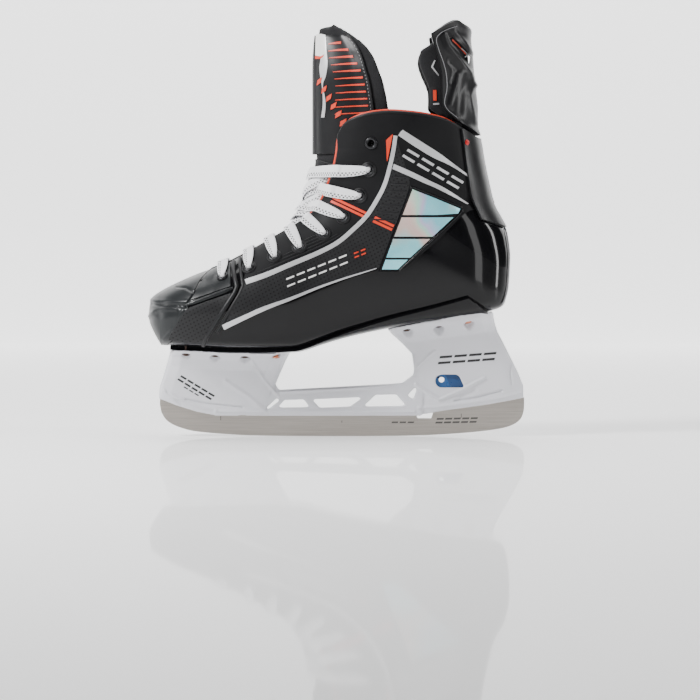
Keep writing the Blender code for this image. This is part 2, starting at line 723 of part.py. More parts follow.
GUARD_WALL = 2.2
GUARD_PIVOT = (113.0, 0.0, 243.0)
GUARD_BACK = smooth([(238.0, 114.4), (249.0, 112.8), (260.0, 113.0), (271.5, 112.0), (288.0, 110.0),
                     (301.0, 109.0),
                     (316.0, 107.4), (323.5, 106.9), (331.0, 103.0)])
GUARD_FRONT = smooth([(240.0, 96.0), (249.0, 89.6), (259.3, 84.0), (271.5, 82.9), (284.0, 82.9),
                      (294.0, 81.4),
                      (303.0, 78.9), (311.0, 76.5), (319.5, 74.6), (325.0, 79.0), (331.0, 85.0)])
GUARD_HALF_WIDTH = smooth([(238.0, 33.0), (260.0, 33.5), (290.0, 34.5), (320.0, 35.5), (331.0, 35.5)])
GUARD_LOW = smooth([(0.0, 245.0), (0.5, 246.5), (0.8, 252.5), (1.0, 261.0)])
GUARD_HIGH = smooth([(0.0, 323.0), (0.35, 327.0), (0.6, 330.2), (0.8, 327.0), (1.0, 319.5)])
PAD_FRONT = smooth([(246.0, 73.5), (262.0, 73.0), (275.6, 72.4), (282.0, 70.2), (290.0, 67.1), (299.0, 64.8),
                    (305.0, 66.1), (311.0, 72.0), (316.0, 79.0)])


def half_pipe(name, slot, back, front, width, low, high, wall, steps, count, inset=0.0):
    """A wall that wraps the back of the leg: k = 0 is its middle and k = 1 its front edges."""
    rows = []
    for v in np.linspace(0, 1, steps):
        row = []
        for k in np.linspace(-1, 1, count):
            z = low(abs(k)) + (high(abs(k)) - low(abs(k))) * float(v)
            angle = abs(k) * math.pi / 2
            depth = back(z) - inset - front(z)
            x = front(z) + depth * math.cos(angle) ** 1.15
            y = (width(z) - inset) * math.sin(angle) ** 0.9
            row.append(Vector((x, math.copysign(y, k), z)))
        rows.append(row)
    obj = grid(name, rows, slot)
    solidify(obj, wall)
    return obj


def tendon_guard():
    """The flexible guard over the back of the ankle, its felt pad, and its base on the shell."""
    half_pipe("tendon_guard", "gloss_black", GUARD_BACK, GUARD_FRONT, GUARD_HALF_WIDTH,
              GUARD_LOW, GUARD_HIGH,
              GUARD_WALL, 9, 13)
    inset = GUARD_WALL + 1.4
    pad_low = smooth([(0.0, 247.0), (0.5, 249.0), (0.8, 254.0), (1.0, 259.5)])
    pad_high = smooth([(0.0, 318.0), (0.6, 322.0), (0.85, 316.0), (1.0, 307.0)])
    half_pipe("tendon_pad", "felt", GUARD_BACK, PAD_FRONT, GUARD_HALF_WIDTH,
              pad_low, pad_high, 6.0, 8, 11, inset)
    base = grid("tendon_guard_base", boot_rows(2 * GAP, 1.80, 2.97, tuple(AROUND[-4:])), "gloss_black")
    solidify(base, GUARD_WALL, outward=True)
    boolean(base, GUARD_HOLES, "DIFFERENCE")


def collar_piping():
    """The corded edge round the top of the boot, one length a side."""
    for side in (LATERAL, MEDIAL):
        points = []
        for t in np.linspace(0.03, 0.70, 16):
            p = boot_offset(S_COLLAR, float(t), side, -3.0)
            points.append((p.x, p.y, p.z + 2.1))
        tube("collar_piping_" + SIDE_NAMES[side], points, 1.5, "piping_orange", resolution=1)


# ---------------------------------------------------------------- the lace

LACE_LIFT = 2.6  # height of the lace's middle over the tongue


def over_tongue(s, y_share, side, lift):
    """A point over the lower tongue, y_share of the way from its middle to the edge of the lace gap."""
    lengths, _ = walk(s, 0.0)
    gap_share = lace_gap_of(s) / lengths[-1] / TONGUE_REACH(s)
    return tongue_point(s, gap_share * y_share, side, lift)


def lace():
    """One lace: two criss-crossed strands that start from the bar over the lowest pair of eyelets."""
    def strand(first_side, height):
        points = []
        side = first_side
        for i in range(1, LACED):
            side = -side
            s, t = eyelet_section(i, side)
            s_low, t_low = eyelet_section(i - 1, -side)
            if i == 1:
                points.append(boot_offset(s_low, t_low * 0.3, -side, -LACE_DEPTH))
            points.append(over_tongue(lerp(s_low, s, 0.18), 0.80, -side, LACE_LIFT + height + 1.0))
            for share, y_share, rise in ((0.30, 0.55, 0.9), (0.42, 0.25, 1.0), (0.5, 0.0, 1.0)):
                points.append(over_tongue(lerp(s_low, s, share), y_share, -side, LACE_LIFT + height * rise))
            for share, y_share, rise in ((0.58, 0.25, 0.9), (0.70, 0.55, 0.5)):
                points.append(over_tongue(lerp(s_low, s, share), y_share, side, LACE_LIFT + height * rise))
            points.append(over_tongue(lerp(s_low, s, 0.82), 0.80, side, LACE_LIFT - 0.4))
            points.append(boot_offset(lerp(s_low, s, 0.92), t * 0.3, side, -LACE_DEPTH))
            for depth in (-LACE_DEPTH, -4.0, 3.4):
                points.append(boot_offset(s, t, side, depth))
            s_next = eyelet_section(min(i + 1, LACED - 1), side)[0]
            points.append(boot_offset(lerp(s, s_next, 0.05), t * 0.55, side, 4.4))
            points.append(boot_offset(lerp(s, s_next, 0.10), 0.0, side, 4.6))
        return points
    lateral = strand(MEDIAL, 0.0)
    medial = strand(LATERAL, 3.2)
    start = []
    for side in (MEDIAL, LATERAL):
        s, t = eyelet_section(0, side)
        bar = [boot_offset(s, 0.0, side, 3.0), boot_offset(s, t * 0.5, side, 4.2),
               boot_offset(s, t, side, 3.4),
               boot_offset(s, t, side, -4.0),
               boot_offset(s, t, side, -LACE_DEPTH)]
        start.append(bar)
    points = lateral[::-1] + start[0][::-1] + start[1] + medial
    tube("lace", points, LACE_RADIUS, "lace_white", resolution=1)


# ---------------------------------------------------------------- holder, runner and trigger

RUNNER_THICKNESS = 3.0
HOLDER_BOTTOM = [(-150.0, 33.0), (-141.0, 29.4), (-123.7, 22.7), (-108.4, 18.2), (-96.2, 16.4),
                 (-80.0, 16.2),
                 (64.0, 16.4), (76.2, 19.0), (99.8, 22.2), (125.2, 25.8), (152.0, 30.8)]
GROOVE_DEPTH = 4.5
FRONT_EDGES = (smooth([(22.0, -139.0), (32.8, -142.8), (50.0, -138.0), (68.8, -132.4), (80.0, -129.0)]),
               smooth([(16.0, -54.0), (30.0, -52.5), (42.4, -48.4), (54.0, -43.2), (66.4, -37.2),
                       (72.0, -30.0),
                       (80.0, -26.0)]))
REAR_EDGES = (smooth([(16.0, 66.0), (30.0, 66.0), (38.0, 63.0), (42.6, 57.0), (59.0, 64.0), (73.0, 53.4),
                      (87.2, 40.0),
                      (96.0, 38.0)]),
              smooth([(24.0, 150.0), (31.4, 149.8), (40.6, 149.4), (55.9, 142.6), (73.8, 133.9),
                      (86.5, 127.6),
                      (95.0, 125.6), (106.0, 124.0)]))
FLARE = smooth([(-8.0, 1.0), (0.0, 1.0), (3.4, 0.94), (8.0, 0.70), (15.0, 0.46), (28.0, 0.33), (45.0, 0.25),
                (75.0, 0.18)])
BRIDGE_HALF = 4.8


SOLE_UNDERSIDE = sole_polyline[(sole_polyline[:, 1] < 100.0) & (sole_polyline[:, 0] > -145.0)]


def sole_height(x):
    return float(np.interp(x, SOLE_UNDERSIDE[:, 0], SOLE_UNDERSIDE[:, 1]))


def holder_bottom(x):
    return float(np.interp(x, [p[0] for p in HOLDER_BOTTOM], [p[1] for p in HOLDER_BOTTOM]))


def pedestal(name, edges, half_width, columns, levels):
    """A pedestal, whose width flares towards the flange with the height under the sole."""
    front, rear = edges
    rings = []
    for v in levels:
        ring = []
        for side in (LATERAL, MEDIAL):
            for u in columns if side == LATERAL else columns[::-1]:
                z = 50.0
                for _ in range(6):
                    x = front(z) + (rear(z) - front(z)) * u
                    z = holder_bottom(x) + (sole_height(x) + 4.0 - holder_bottom(x)) * v
                round_end = (1 - abs(2 * u - 1) ** 5) ** 0.5
                half = half_width * FLARE(sole_height(x) - z) * (0.35 + 0.65 * round_end)
                ring.append(Vector((x, side * max(half, 3.4), z)))
        rings.append(ring)
    return grid(name, rings, "white_plastic", loop=True, cap_start=True, cap_end=True)


WINDOWS = [
    [(-56.5, 22.2), (-47.5, 30.6), (-45.6, 28.6), (-54.6, 21.4)],
    [(-41.5, 28.9), (-26.2, 29.4), (-21.7, 23.3), (-47.1, 22.7)],
    [(-19.6, 29.4), (21.2, 31.2), (10.8, 23.6), (-13.5, 22.7)],
    [(31.4, 33.0), (47.7, 33.4), (55.8, 24.2), (21.2, 23.6)],
    [(62.2, 38.6), (64.4, 38.4), (61.4, 29.4), (56.6, 32.4)],
]
BRIDGE = [
    (-60.0, 16.2), (68.0, 16.4), (70.0, 46.0), (60.0, 48.0), (52.8, 42.6), (41.0, 41.6), (0.0, 39.4),
    (-46.0, 37.0),
    (-52.0, 46.0), (-60.0, 46.0),
]
SLOPE = 2.95  # of the catch faces between the trigger's nose and the runner's post
TRIGGER_WINDOW = [(84.1, 39.0), (101.8, 39.0), (101.6, 40.2), (98.2, 47.6), (96.0, 49.3), (84.1, 49.3)] + [
    (84.1 - 5.15 * math.sin(a), 44.15 + 5.15 * math.cos(a)) for a in np.linspace(0.3, math.pi - 0.3, 7)]
NOSE_TIP = (107.6, 35.5)
TRIGGER = [(80.0, 37.6), (103.6, 37.6), (104.6, 35.5), NOSE_TIP, (NOSE_TIP[0] - 9.0 / SLOPE, 44.5),
           (101.0, 50.7),
           (80.0, 50.7), (76.0, 47.6), (76.0, 40.7)]
TRIGGER_HALF = 2.7
TRIGGER_HOLE = (84.0, 45.1, 2.2)
POST_GAP = 0.65
POST = [(116.5, 24.0), (116.5, 42.0), (114.5, 44.5), (NOSE_TIP[0] + POST_GAP - 9.0 / SLOPE, 44.5),
        (NOSE_TIP[0] + POST_GAP, 35.5), (NOSE_TIP[0] + POST_GAP, 24.0)]
RUNNER_PIVOT = (-141.0, 0.0, 28.0)  # the front tab's seat, which the runner swings out from
RUNNER_LOW = [(150.2, 30.6), (149.8, 19.2), (145.7, 12.0), (135.4, 7.0), (115.0, 3.7), (84.4, 1.3),
              (60.0, 0.35),
              (30.0, 0.0), (-30.0, 0.0), (-60.0, 0.35), (-80.0, 1.0), (-108.4, 3.2), (-122.6, 6.0),
              (-133.9, 11.0),
              (-139.4, 17.6), (-141.2, 24.0), (-141.2, 29.8)]
NOTCH = [(65.0, 14.2), (75.8, 14.2)]


def runner_top(lift):
    """The runner's top edge from front to rear: its front tab, the notch and the trigger's post."""
    def steel(x):
        return holder_bottom(x) + GROOVE_DEPTH + lift
    side = lift
    top = [(-136.0 - side, steel(-136.0)), (-129.0 - side, steel(-129.0)), (-129.0 - side, 33.0 + lift),
           (-121.0 + side, 33.0 + lift), (-121.0 + side, steel(-121.0))]
    top += [(x, steel(x)) for x in (-108.4, -96.0, 0.0, 62.0)]
    if lift == 0.0:
        top += NOTCH
    top += [(x, steel(x)) for x in (79.0, 99.8)]
    if lift == 0.0:
        top += [(POST[5][0], steel(108.0)), (POST[5][0], 35.5), POST[3]]
    else:
        top += [(POST[3][0] - 1.4, steel(104.0)), (POST[3][0] - 1.4, 44.5 + lift)]
    top += [(114.5 + side, 44.5 + lift), (116.5 + 2 * side, 42.0 + lift), (116.5 + 2 * side, steel(116.5))]
    top += [(125.2, steel(125.2)), (144.0, steel(144.0))]
    return top


def holder():
    """The moulded holder: two pedestals and a windowed bridge, grooved for the runner."""
    shares = np.array([0.0, 0.03, 0.12, 0.3, 0.5, 0.7, 0.88, 0.97, 1.0])
    front = pedestal("holder", FRONT_EDGES, 31.0, shares,
                     np.array([0, 0.2, 0.42, 0.62, 0.76, 0.86, 0.92, 0.96, 1.0]))
    rear = pedestal("holder_rear", REAR_EDGES, 25.0, shares,
                    np.array([0, 0.14, 0.3, 0.46, 0.62, 0.74, 0.84, 0.90, 0.95, 1.0]))
    to_cutters(rear)
    bridge = flat_outline("bridge", [BRIDGE], 2 * BRIDGE_HALF)
    windows = flat_outline("windows", [WINDOWS[0]], 60.0)
    boolean(front, rear, "UNION")
    boolean(front, bridge, "UNION")
    boolean(front, windows, "DIFFERENCE")
    for i, outline_points in enumerate(WINDOWS[1:]):
        boolean(front, flat_outline(f"window_{i + 2}", [outline_points], 60.0), "DIFFERENCE")
    groove = runner_top(0.6) + [(156.0, 36.0), (156.0, -5.0), (-156.0, -5.0), (-156.0, 34.4)]
    boolean(front, flat_outline("runner_groove", [groove], RUNNER_THICKNESS + 0.8), "DIFFERENCE")
    pocket = [(66.5, 36.4), (98.0, 36.4), (98.8, 34.4), (109.4, 34.4), (109.4, 51.9), (66.5, 51.9)]
    boolean(front, flat_outline("trigger_pocket", [pocket], 2 * TRIGGER_HALF + 0.9), "DIFFERENCE")
    boolean(front, flat_outline("trigger_window", [TRIGGER_WINDOW], 60.0), "DIFFERENCE")
    boolean(front, boot_envelope(), "DIFFERENCE")
    boolean(front, RIVET_HOLES, "DIFFERENCE")
    boolean(front, rivet_pockets(), "DIFFERENCE")


def boot_envelope():
    """The solid of everything above the holder's flanges."""
    rows = boot_rows(HOLDER_TOP, 0.0, 1.9, closed=True)
    obj = grid("boot_envelope", rows, "felt", loop=True, cap_start=True, cap_end=True)
    to_cutters(obj)
    return obj


def rivet_pockets():
    """Clearance for the rivet heads under the flanges."""
    places = []
    depth = HOLDER_TOP + FLANGE_WALL
    for x, y, side in ALL_RIVETS:
        centre, axis = rivet_place(x, y, side)
        places.append((centre + axis * (depth + 5.0), axis))
    return cylinders("rivet_pockets", places, RIVET_HEAD + 0.7, 10.0, 14)


def to_cutters(obj):
    PARTS.objects.unlink(obj)
    CUTTERS.objects.link(obj)
    as_cutter(obj)


def runner():
    """The replaceable steel runner: rockered edge, front tab, notch and the post the trigger holds."""
    flat_outline("runner", [runner_top(0.0) + RUNNER_LOW], RUNNER_THICKNESS, "steel")


def trigger():
    """The sliding trigger that holds the runner's post, and its return spring."""
    x, z, radius = TRIGGER_HOLE
    hole = [(x + radius * math.cos(a), z + radius * math.sin(a)) for a in np.arange(12) * math.pi / 6]
    flat_outline("trigger", [TRIGGER, hole], 2 * TRIGGER_HALF, "blue_plastic")
    turns, length, start = 4, 8.0, 67.4
    points = []
    for i in range(turns * 8 + 1):
        a = i * math.pi / 4
        points.append((start + length * i / (turns * 8), 1.9 * math.cos(a), 44.2 + 1.9 * math.sin(a)))
    tube("trigger_spring", points, 0.35, "steel", resolution=0)


def origin_to(name, point):
    """Moves an object's origin to a joint axis, leaving its shape where it is."""
    obj = bpy.data.objects[name]
    shift = Vector(point) * MM
    obj.data.transform(Matrix.Translation(-shift))
    obj.location = shift


EYELET_HOLES = cylinders("eyelet_holes", [eyelet_place(i, side) for i, side in ALL_EYELETS],
                         EYELET_BARREL + GAP, 40.0)
RIVET_HOLES = cylinders("rivet_holes", [rivet_place(*rivet) for rivet in ALL_RIVETS],
                        RIVET_SHANK + GAP, 16.0)
GUARD_HOLES = cylinders("guard_holes", [guard_rivet_place(side) for side in (LATERAL, MEDIAL)],
                        1.4 + GAP, 16.0)

toe_cap()
boot_shell((EYELET_HOLES, RIVET_HOLES, GUARD_HOLES))
liners(EYELET_HOLES)
underfoot()
eyelets()
tongue()
tendon_guard()
guard_rivets()
collar_piping()
lace()
holder()
holder_rivets()
runner()
trigger()

origin_to("runner", RUNNER_PIVOT)
origin_to("trigger", (TRIGGER_HOLE[0], 0.0, TRIGGER_HOLE[1]))
for piece in ("tongue_upper", "tongue_face"):
    origin_to(piece, TONGUE_PIVOT)
for piece in ("tendon_guard", "tendon_pad"):
    origin_to(piece, GUARD_PIVOT)
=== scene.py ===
"""The looks of the ice hockey skate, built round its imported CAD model.

Lengths here are millimetres and become metres where a mesh is made. The boot's outer surface is the same
formula as the CAD's: s runs from the toe tip round the heel to the collar, and t runs from the crown over
the laces, down one side, to the middle of the sole or of the heel's back. Graphics are drawn as side-view
outlines, (x, z), and laid on that surface.
"""

import functools
import math

import bmesh
import bpy
import numpy as np
from mathutils import Matrix, Vector
from mathutils.bvhtree import BVHTree


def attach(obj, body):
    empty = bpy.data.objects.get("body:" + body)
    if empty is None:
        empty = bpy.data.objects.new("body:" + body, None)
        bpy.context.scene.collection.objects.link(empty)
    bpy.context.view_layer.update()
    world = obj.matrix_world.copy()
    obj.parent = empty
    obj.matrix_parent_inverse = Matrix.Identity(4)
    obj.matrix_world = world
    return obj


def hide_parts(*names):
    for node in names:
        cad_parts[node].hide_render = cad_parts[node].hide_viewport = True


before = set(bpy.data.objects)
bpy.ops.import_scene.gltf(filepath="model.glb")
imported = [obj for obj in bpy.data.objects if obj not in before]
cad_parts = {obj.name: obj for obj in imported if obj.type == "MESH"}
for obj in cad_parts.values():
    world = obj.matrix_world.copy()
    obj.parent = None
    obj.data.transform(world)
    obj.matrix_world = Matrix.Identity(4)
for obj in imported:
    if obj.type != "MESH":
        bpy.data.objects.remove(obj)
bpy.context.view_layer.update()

MM = 0.001
LATERAL, MEDIAL = -1, 1
SIDES = (LATERAL, MEDIAL)
SIDE_NAMES = {LATERAL: "lateral", MEDIAL: "medial"}

# ---------------------------------------------------------------- the boot's surface

TOE_X = -150.0
HINGE_X, HINGE_Z = -65.0, 229.0
TOE_CAP_LENGTH = 55.0
BALL_HALF_WIDTH = 50.0
TOE_ROUNDNESS = 2.6
SHELL_WALL = 3.0
TOE_WALL = 2.6
LINER_WALL = 4.0
LINER_FACE = SHELL_WALL + 1.1
S_COLLAR = 3.0
SOLE_LINE = [
    (-150.0, 96.0), (-149.4, 91.0), (-146.5, 84.5), (-140.5, 74.5), (-136.0, 72.8), (-104.0, 71.8),
    (-77.0, 70.8), (-37.0, 70.6), (-25.5, 72.2), (-12.0, 76.6), (6.0, 81.9), (29.0, 87.2), (50.0, 90.9),
    (88.0, 95.3), (121.0, 99.8), (130.5, 102.6), (135.0, 107.5), (137.8, 126.4), (138.4, 143.2),
    (136.0, 160.0), (131.5, 170.0), (127.0, 177.8), (122.5, 187.0), (119.6, 198.0), (114.8, 220.8),
    (113.2, 232.0),
]
LACE_LINE = [
    (-150.0, 97.0), (-149.6, 104.0), (-147.6, 111.0), (-138.0, 117.6), (-125.0, 124.0), (-112.0, 129.6),
    (-98.0, 134.6), (-85.5, 139.5), (-77.0, 143.8), (-64.0, 150.5), (-47.0, 160.4), (-29.0, 170.6),
    (-18.0, 178.8), (-9.0, 191.0), (-3.6, 204.8), (0.0, 217.2), (2.4, 232.0),
]
BACK_SLOPE, FRONT_SLOPE = -0.2, 0.1
COLLAR = [
    (0.0, 236.0), (0.075, 239.5), (0.11, 247.0), (0.17, 251.4), (0.30, 255.4), (0.42, 256.5), (0.55, 255.6),
    (0.70, 253.4), (0.80, 250.6), (0.90, 244.5), (1.0, 237.5),
]
HALF_WIDTH = [
    (0.647, 50.0), (0.85, 51.0), (1.0, 50.4), (1.11, 48.6), (1.29, 44.6), (1.44, 42.0), (1.56, 40.6),
    (1.66, 40.2), (1.76, 41.0), (1.88, 43.2), (2.0, 44.8), (3.0, 46.0),
]
SOLE_TAPER = [(0.0, 0.10), (0.65, 0.10), (1.0, 0.13), (1.29, 0.22), (1.44, 0.20), (1.56, 0.13),
              (1.66, 0.05), (1.76, 0.0), (3.0, 0.0)]
OUTER_POWER = [(0.0, 3.6), (0.3, 5.0), (1.1, 6.0), (1.4, 5.2), (1.52, 4.2), (1.62, 3.2), (1.72, 2.6),
               (1.85, 2.3), (3.0, 2.3)]
INNER_POWER = [(0.0, 2.3), (0.7, 2.2), (1.5, 2.3), (2.0, 2.7), (3.0, 2.8)]
WIDEST_AT = [(0.0, 0.52), (0.6, 0.56), (1.0, 0.62), (1.3, 0.60), (1.64, 0.50), (2.0, 0.45), (3.0, 0.45)]
LACE_GAP = [(0.0, 0.0), (0.53, 0.0), (0.585, 8.0), (0.64, 13.0), (0.8, 15.0), (1.0, 17.0), (1.4, 21.0),
            (1.7, 27.0), (1.85, 31.0), (2.0, 33.0), (3.0, 33.5)]
CENTRE_SHIFT = [(-150.0, 5.0), (-115.0, 2.6), (-85.0, 0.2), (-45.0, -1.4), (10.0, 0.0), (150.0, 0.0)]


def smooth(table):
    """A curve through (position, value) pairs, with the ends held level outside them."""
    xs = np.array([p[0] for p in table], float)
    ys = np.array([p[1] for p in table], float)
    secants = np.diff(ys) / np.diff(xs)
    slopes = np.zeros(len(xs))
    for i in range(1, len(xs) - 1):
        if secants[i - 1] * secants[i] > 0:
            slopes[i] = 2 * secants[i - 1] * secants[i] / (secants[i - 1] + secants[i])

    def value(x):
        x = min(max(x, xs[0]), xs[-1])
        i = min(max(int(np.searchsorted(xs, x)) - 1, 0), len(xs) - 2)
        h = xs[i + 1] - xs[i]
        u = (x - xs[i]) / h
        a = ys[i] * (1 + 2 * u) * (1 - u) ** 2 + slopes[i] * h * u * (1 - u) ** 2
        return a + ys[i + 1] * u * u * (3 - 2 * u) + slopes[i + 1] * h * u * u * (u - 1)

    return value


def spline(points, steps=8):
    """A dense polyline of a smooth curve through the points."""
    p = np.array([points[0], *points, points[-1]], float)
    out = []
    for i in range(1, len(p) - 2):
        for k in range(steps):
            u = k / steps
            a, b, c, d = p[i - 1], p[i], p[i + 1], p[i + 2]
            out.append(0.5 * (2 * b + (c - a) * u + (2 * a - 5 * b + 4 * c - d) * u**2
                              + (3 * b - a - 3 * c + d) * u**3))
    out.append(p[-1])
    return np.array(out)


def resample(line, count):
    """Points spaced evenly along a polyline."""
    line = np.array(line, float)
    lengths = np.concatenate([[0], np.cumsum(np.linalg.norm(np.diff(line, axis=0), axis=1))])
    at = np.linspace(0, lengths[-1], count)
    return np.stack([np.interp(at, lengths, line[:, i]) for i in range(line.shape[1])], axis=1)


def hit(origin, direction, line):
    """How far along a ray in the side view a polyline is crossed, or None."""
    a, b = line[:-1], line[1:]
    e = b - a
    d = np.array(direction)
    cross = d[0] * e[:, 1] - d[1] * e[:, 0]
    cross[np.abs(cross) < 1e-9] = 1e-9
    w = a - np.array(origin)
    along = (w[:, 0] * e[:, 1] - w[:, 1] * e[:, 0]) / cross
    share = (w[:, 0] * d[1] - w[:, 1] * d[0]) / cross
    good = (share >= -1e-6) & (share <= 1 + 1e-6) & (along > 0)
    return float(along[good].max()) if good.any() else None


half_width_of = smooth(HALF_WIDTH)
sole_taper_of = smooth(SOLE_TAPER)
outer_power_of = smooth(OUTER_POWER)
inner_power_of = smooth(INNER_POWER)
widest_at_of = smooth(WIDEST_AT)
lace_gap_of = smooth(LACE_GAP)
centre_shift_of = smooth(CENTRE_SHIFT)
collar_of = smooth(COLLAR)
sole_polyline = spline(SOLE_LINE)
lace_polyline = spline(LACE_LINE)


def s_of_x(x):
    """Which section of the forefoot stands at x."""
    return (x - TOE_X) / (HINGE_X - TOE_X)


def section_width(s):
    """Half the boot's width at section s."""
    x = TOE_X + s * (HINGE_X - TOE_X)
    reach = (TOE_X + TOE_CAP_LENGTH - x) / TOE_CAP_LENGTH
    if reach > 0:
        return BALL_HALF_WIDTH * (1 - min(reach, 0.9999) ** TOE_ROUNDNESS) ** (1 / TOE_ROUNDNESS)
    return half_width_of(s)


def ray(s):
    """(origin, direction) of section s in the side view, for s up to 2."""
    if s <= 1:
        return (TOE_X + s * (HINGE_X - TOE_X), HINGE_Z), (0.0, -1.0)
    angle = math.radians(90 * min(s - 1, 1.0))
    return (HINGE_X, HINGE_Z), (math.sin(angle), -math.cos(angle))


def lace_share(s):
    """How far down section s the edge of the lace gap lies."""
    w, m = section_width(s), inner_power_of(s)
    return widest_at_of(s) * (1 - (1 - (lace_gap_of(s) / w) ** m) ** (1 / m)) if lace_gap_of(s) < w else 0.0


@functools.lru_cache(maxsize=None)
def reach_of(s):
    """(distance to the crown, distance to the sole or back) along section s's ray."""
    origin, direction = ray(min(s, 2.0))
    edge = hit(origin, direction, lace_polyline) or HINGE_Z - 97.0
    outer = hit(origin, direction, sole_polyline) or HINGE_Z - 96.0
    share = lace_share(min(s, 2.0))
    return (edge - share * outer) / (1 - share), outer


def outline(s, angle):
    """(shares, half widths) at angles round section s, which are below 0 on the crown's side."""
    w, c = section_width(s), widest_at_of(s)
    up, down = np.clip(-angle, 0, None), np.clip(angle, 0, None)
    inner, outer = 2 / inner_power_of(s), 2 / outer_power_of(s)
    beyond = np.sin(down) ** outer
    share = np.where(angle < 0, c * (1 - np.sin(up) ** inner), c + (1 - c) * beyond)
    above = w * np.clip(np.cos(up), 0, None) ** inner
    below = w * np.clip(np.cos(down), 0, None) ** outer * (1 - sole_taper_of(s) * beyond)
    return share, np.where(angle < 0, above, below)


def side_view(s, share):
    """(x, z) of points of section s: share 0 is the crown over the laces, and 1 the sole or the back."""
    crown, outer = reach_of(s)
    if s <= 2:
        (ox, oz), (dx, dz) = ray(s)
        r = crown + share * (outer - crown)
        return ox + dx * r, oz + dz * r
    tops = np.array([collar_of(float(v)) for v in np.atleast_1d(share)])
    z = HINGE_Z + (s - 2) * (tops - HINGE_Z)
    crown = crown + FRONT_SLOPE * (z - HINGE_Z)
    outer = outer + BACK_SLOPE * (z - HINGE_Z)
    return HINGE_X + crown + share * (outer - crown), z


class Surface:
    """The boot's outer surface as a fine grid over s and t, read between its points."""

    def __init__(self, s_count=601, t_count=181):
        self.s = np.linspace(0, S_COLLAR, s_count)
        self.t = np.linspace(0, 1, t_count)
        self.share = np.zeros((s_count, t_count))
        self.edge = np.zeros(s_count)
        self.length = np.zeros(s_count)
        half, x, z = (np.zeros((s_count, t_count)) for _ in range(3))
        ease = np.linspace(0, 1, 120)
        for i, s in enumerate(np.maximum(self.s, 0.004)):
            s = round(float(s), 5)
            angles = np.concatenate([-math.pi / 2 * (1 - ease[:-1]) ** 1.5, math.pi / 2 * ease**2.4])
            shares, halves = outline(s, angles)
            crown, outer = reach_of(s)
            steps = np.hypot(np.diff(shares * (outer - crown)), np.diff(halves))
            lengths = np.concatenate([[0], np.cumsum(steps)])
            self.length[i] = lengths[-1]
            turn = np.interp(self.t * lengths[-1], lengths, angles)
            self.share[i], half[i] = outline(s, turn)
            x[i], z[i] = side_view(s, self.share[i])
            start = -math.acos(min(lace_gap_of(s) / section_width(s), 1.0) ** (inner_power_of(s) / 2))
            self.edge[i] = np.interp(start, angles, lengths) / lengths[-1]
        shift = np.array([centre_shift_of(float(v)) for v in x.ravel()]).reshape(x.shape)
        self.points, self.normals = {}, {}
        for side in SIDES:
            p = np.stack([x, side * half + shift, z], axis=2)
            n = np.cross(np.gradient(p, axis=0), np.gradient(p, axis=1)) * side
            self.points[side] = p
            self.normals[side] = n / np.maximum(np.linalg.norm(n, axis=2, keepdims=True), 1e-9)

    def read(self, grid, s, t):
        a = np.clip(s / S_COLLAR, 0, 1) * (len(self.s) - 1)
        b = np.clip(t, 0, 1) * (len(self.t) - 1)
        i, j = np.minimum(a.astype(int), len(self.s) - 2), np.minimum(b.astype(int), len(self.t) - 2)
        a, b = (a - i)[..., None], (b - j)[..., None]
        low = grid[i, j] * (1 - b) + grid[i, j + 1] * b
        high = grid[i + 1, j] * (1 - b) + grid[i + 1, j + 1] * b
        return low * (1 - a) + high * a

    def at(self, s, t, side, lift=0.0, from_edge=False):
        """Points this far above the surface. With from_edge, t = 0 is the lace edge and not the crown."""
        s, t = np.broadcast_arrays(np.asarray(s, float), np.asarray(t, float))
        if from_edge:
            edge = np.interp(s, self.s, self.edge)
            t = edge + t * (1 - edge)
        return self.read(self.points[side], s, t) + self.normal(s, t, side) * np.asarray(lift)[..., None]

    def normal(self, s, t, side, from_edge=False):
        s, t = np.broadcast_arrays(np.asarray(s, float), np.asarray(t, float))
        if from_edge:
            edge = np.interp(s, self.s, self.edge)
            t = edge + t * (1 - edge)
        n = self.read(self.normals[side], s, t)
        return n / np.maximum(np.linalg.norm(n, axis=-1, keepdims=True), 1e-9)

    def find(self, x, z):
        """(s, t) of the surface's point at (x, z) in the side view, with t from the crown."""
        if x <= HINGE_X:
            s, r = s_of_x(x), HINGE_Z - z
        else:
            s = 1 + math.atan2(x - HINGE_X, HINGE_Z - z) / (math.pi / 2)
            r = math.hypot(x - HINGE_X, HINGE_Z - z)
        s = max(s, 0.004)
        if s <= 2:
            crown, outer = reach_of(round(s, 4))
        else:
            crown, outer = reach_of(2.0)
            crown, outer = crown + FRONT_SLOPE * (z - HINGE_Z), outer + BACK_SLOPE * (z - HINGE_Z)
            r = x - HINGE_X
        share = min(max((r - crown) / (outer - crown), 0.0), 1.0)
        if s > 2:
            s = 2 + (z - HINGE_Z) / (collar_of(share) - HINGE_Z)
        a = min(s, S_COLLAR) / S_COLLAR * (len(self.s) - 1)
        i = min(int(a), len(self.s) - 2)
        low, high = (np.interp(share, self.share[k], self.t) for k in (i, i + 1))
        return min(s, S_COLLAR), float(low + (high - low) * (a - i))

    def place(self, x, z, side, lift=0.0):
        """(point, normal) on the surface at (x, z) in the side view."""
        s, t = self.find(x, z)
        return self.at(s, t, side, lift), self.normal(s, t, side)


BOOT = Surface()

# ---------------------------------------------------------------- materials


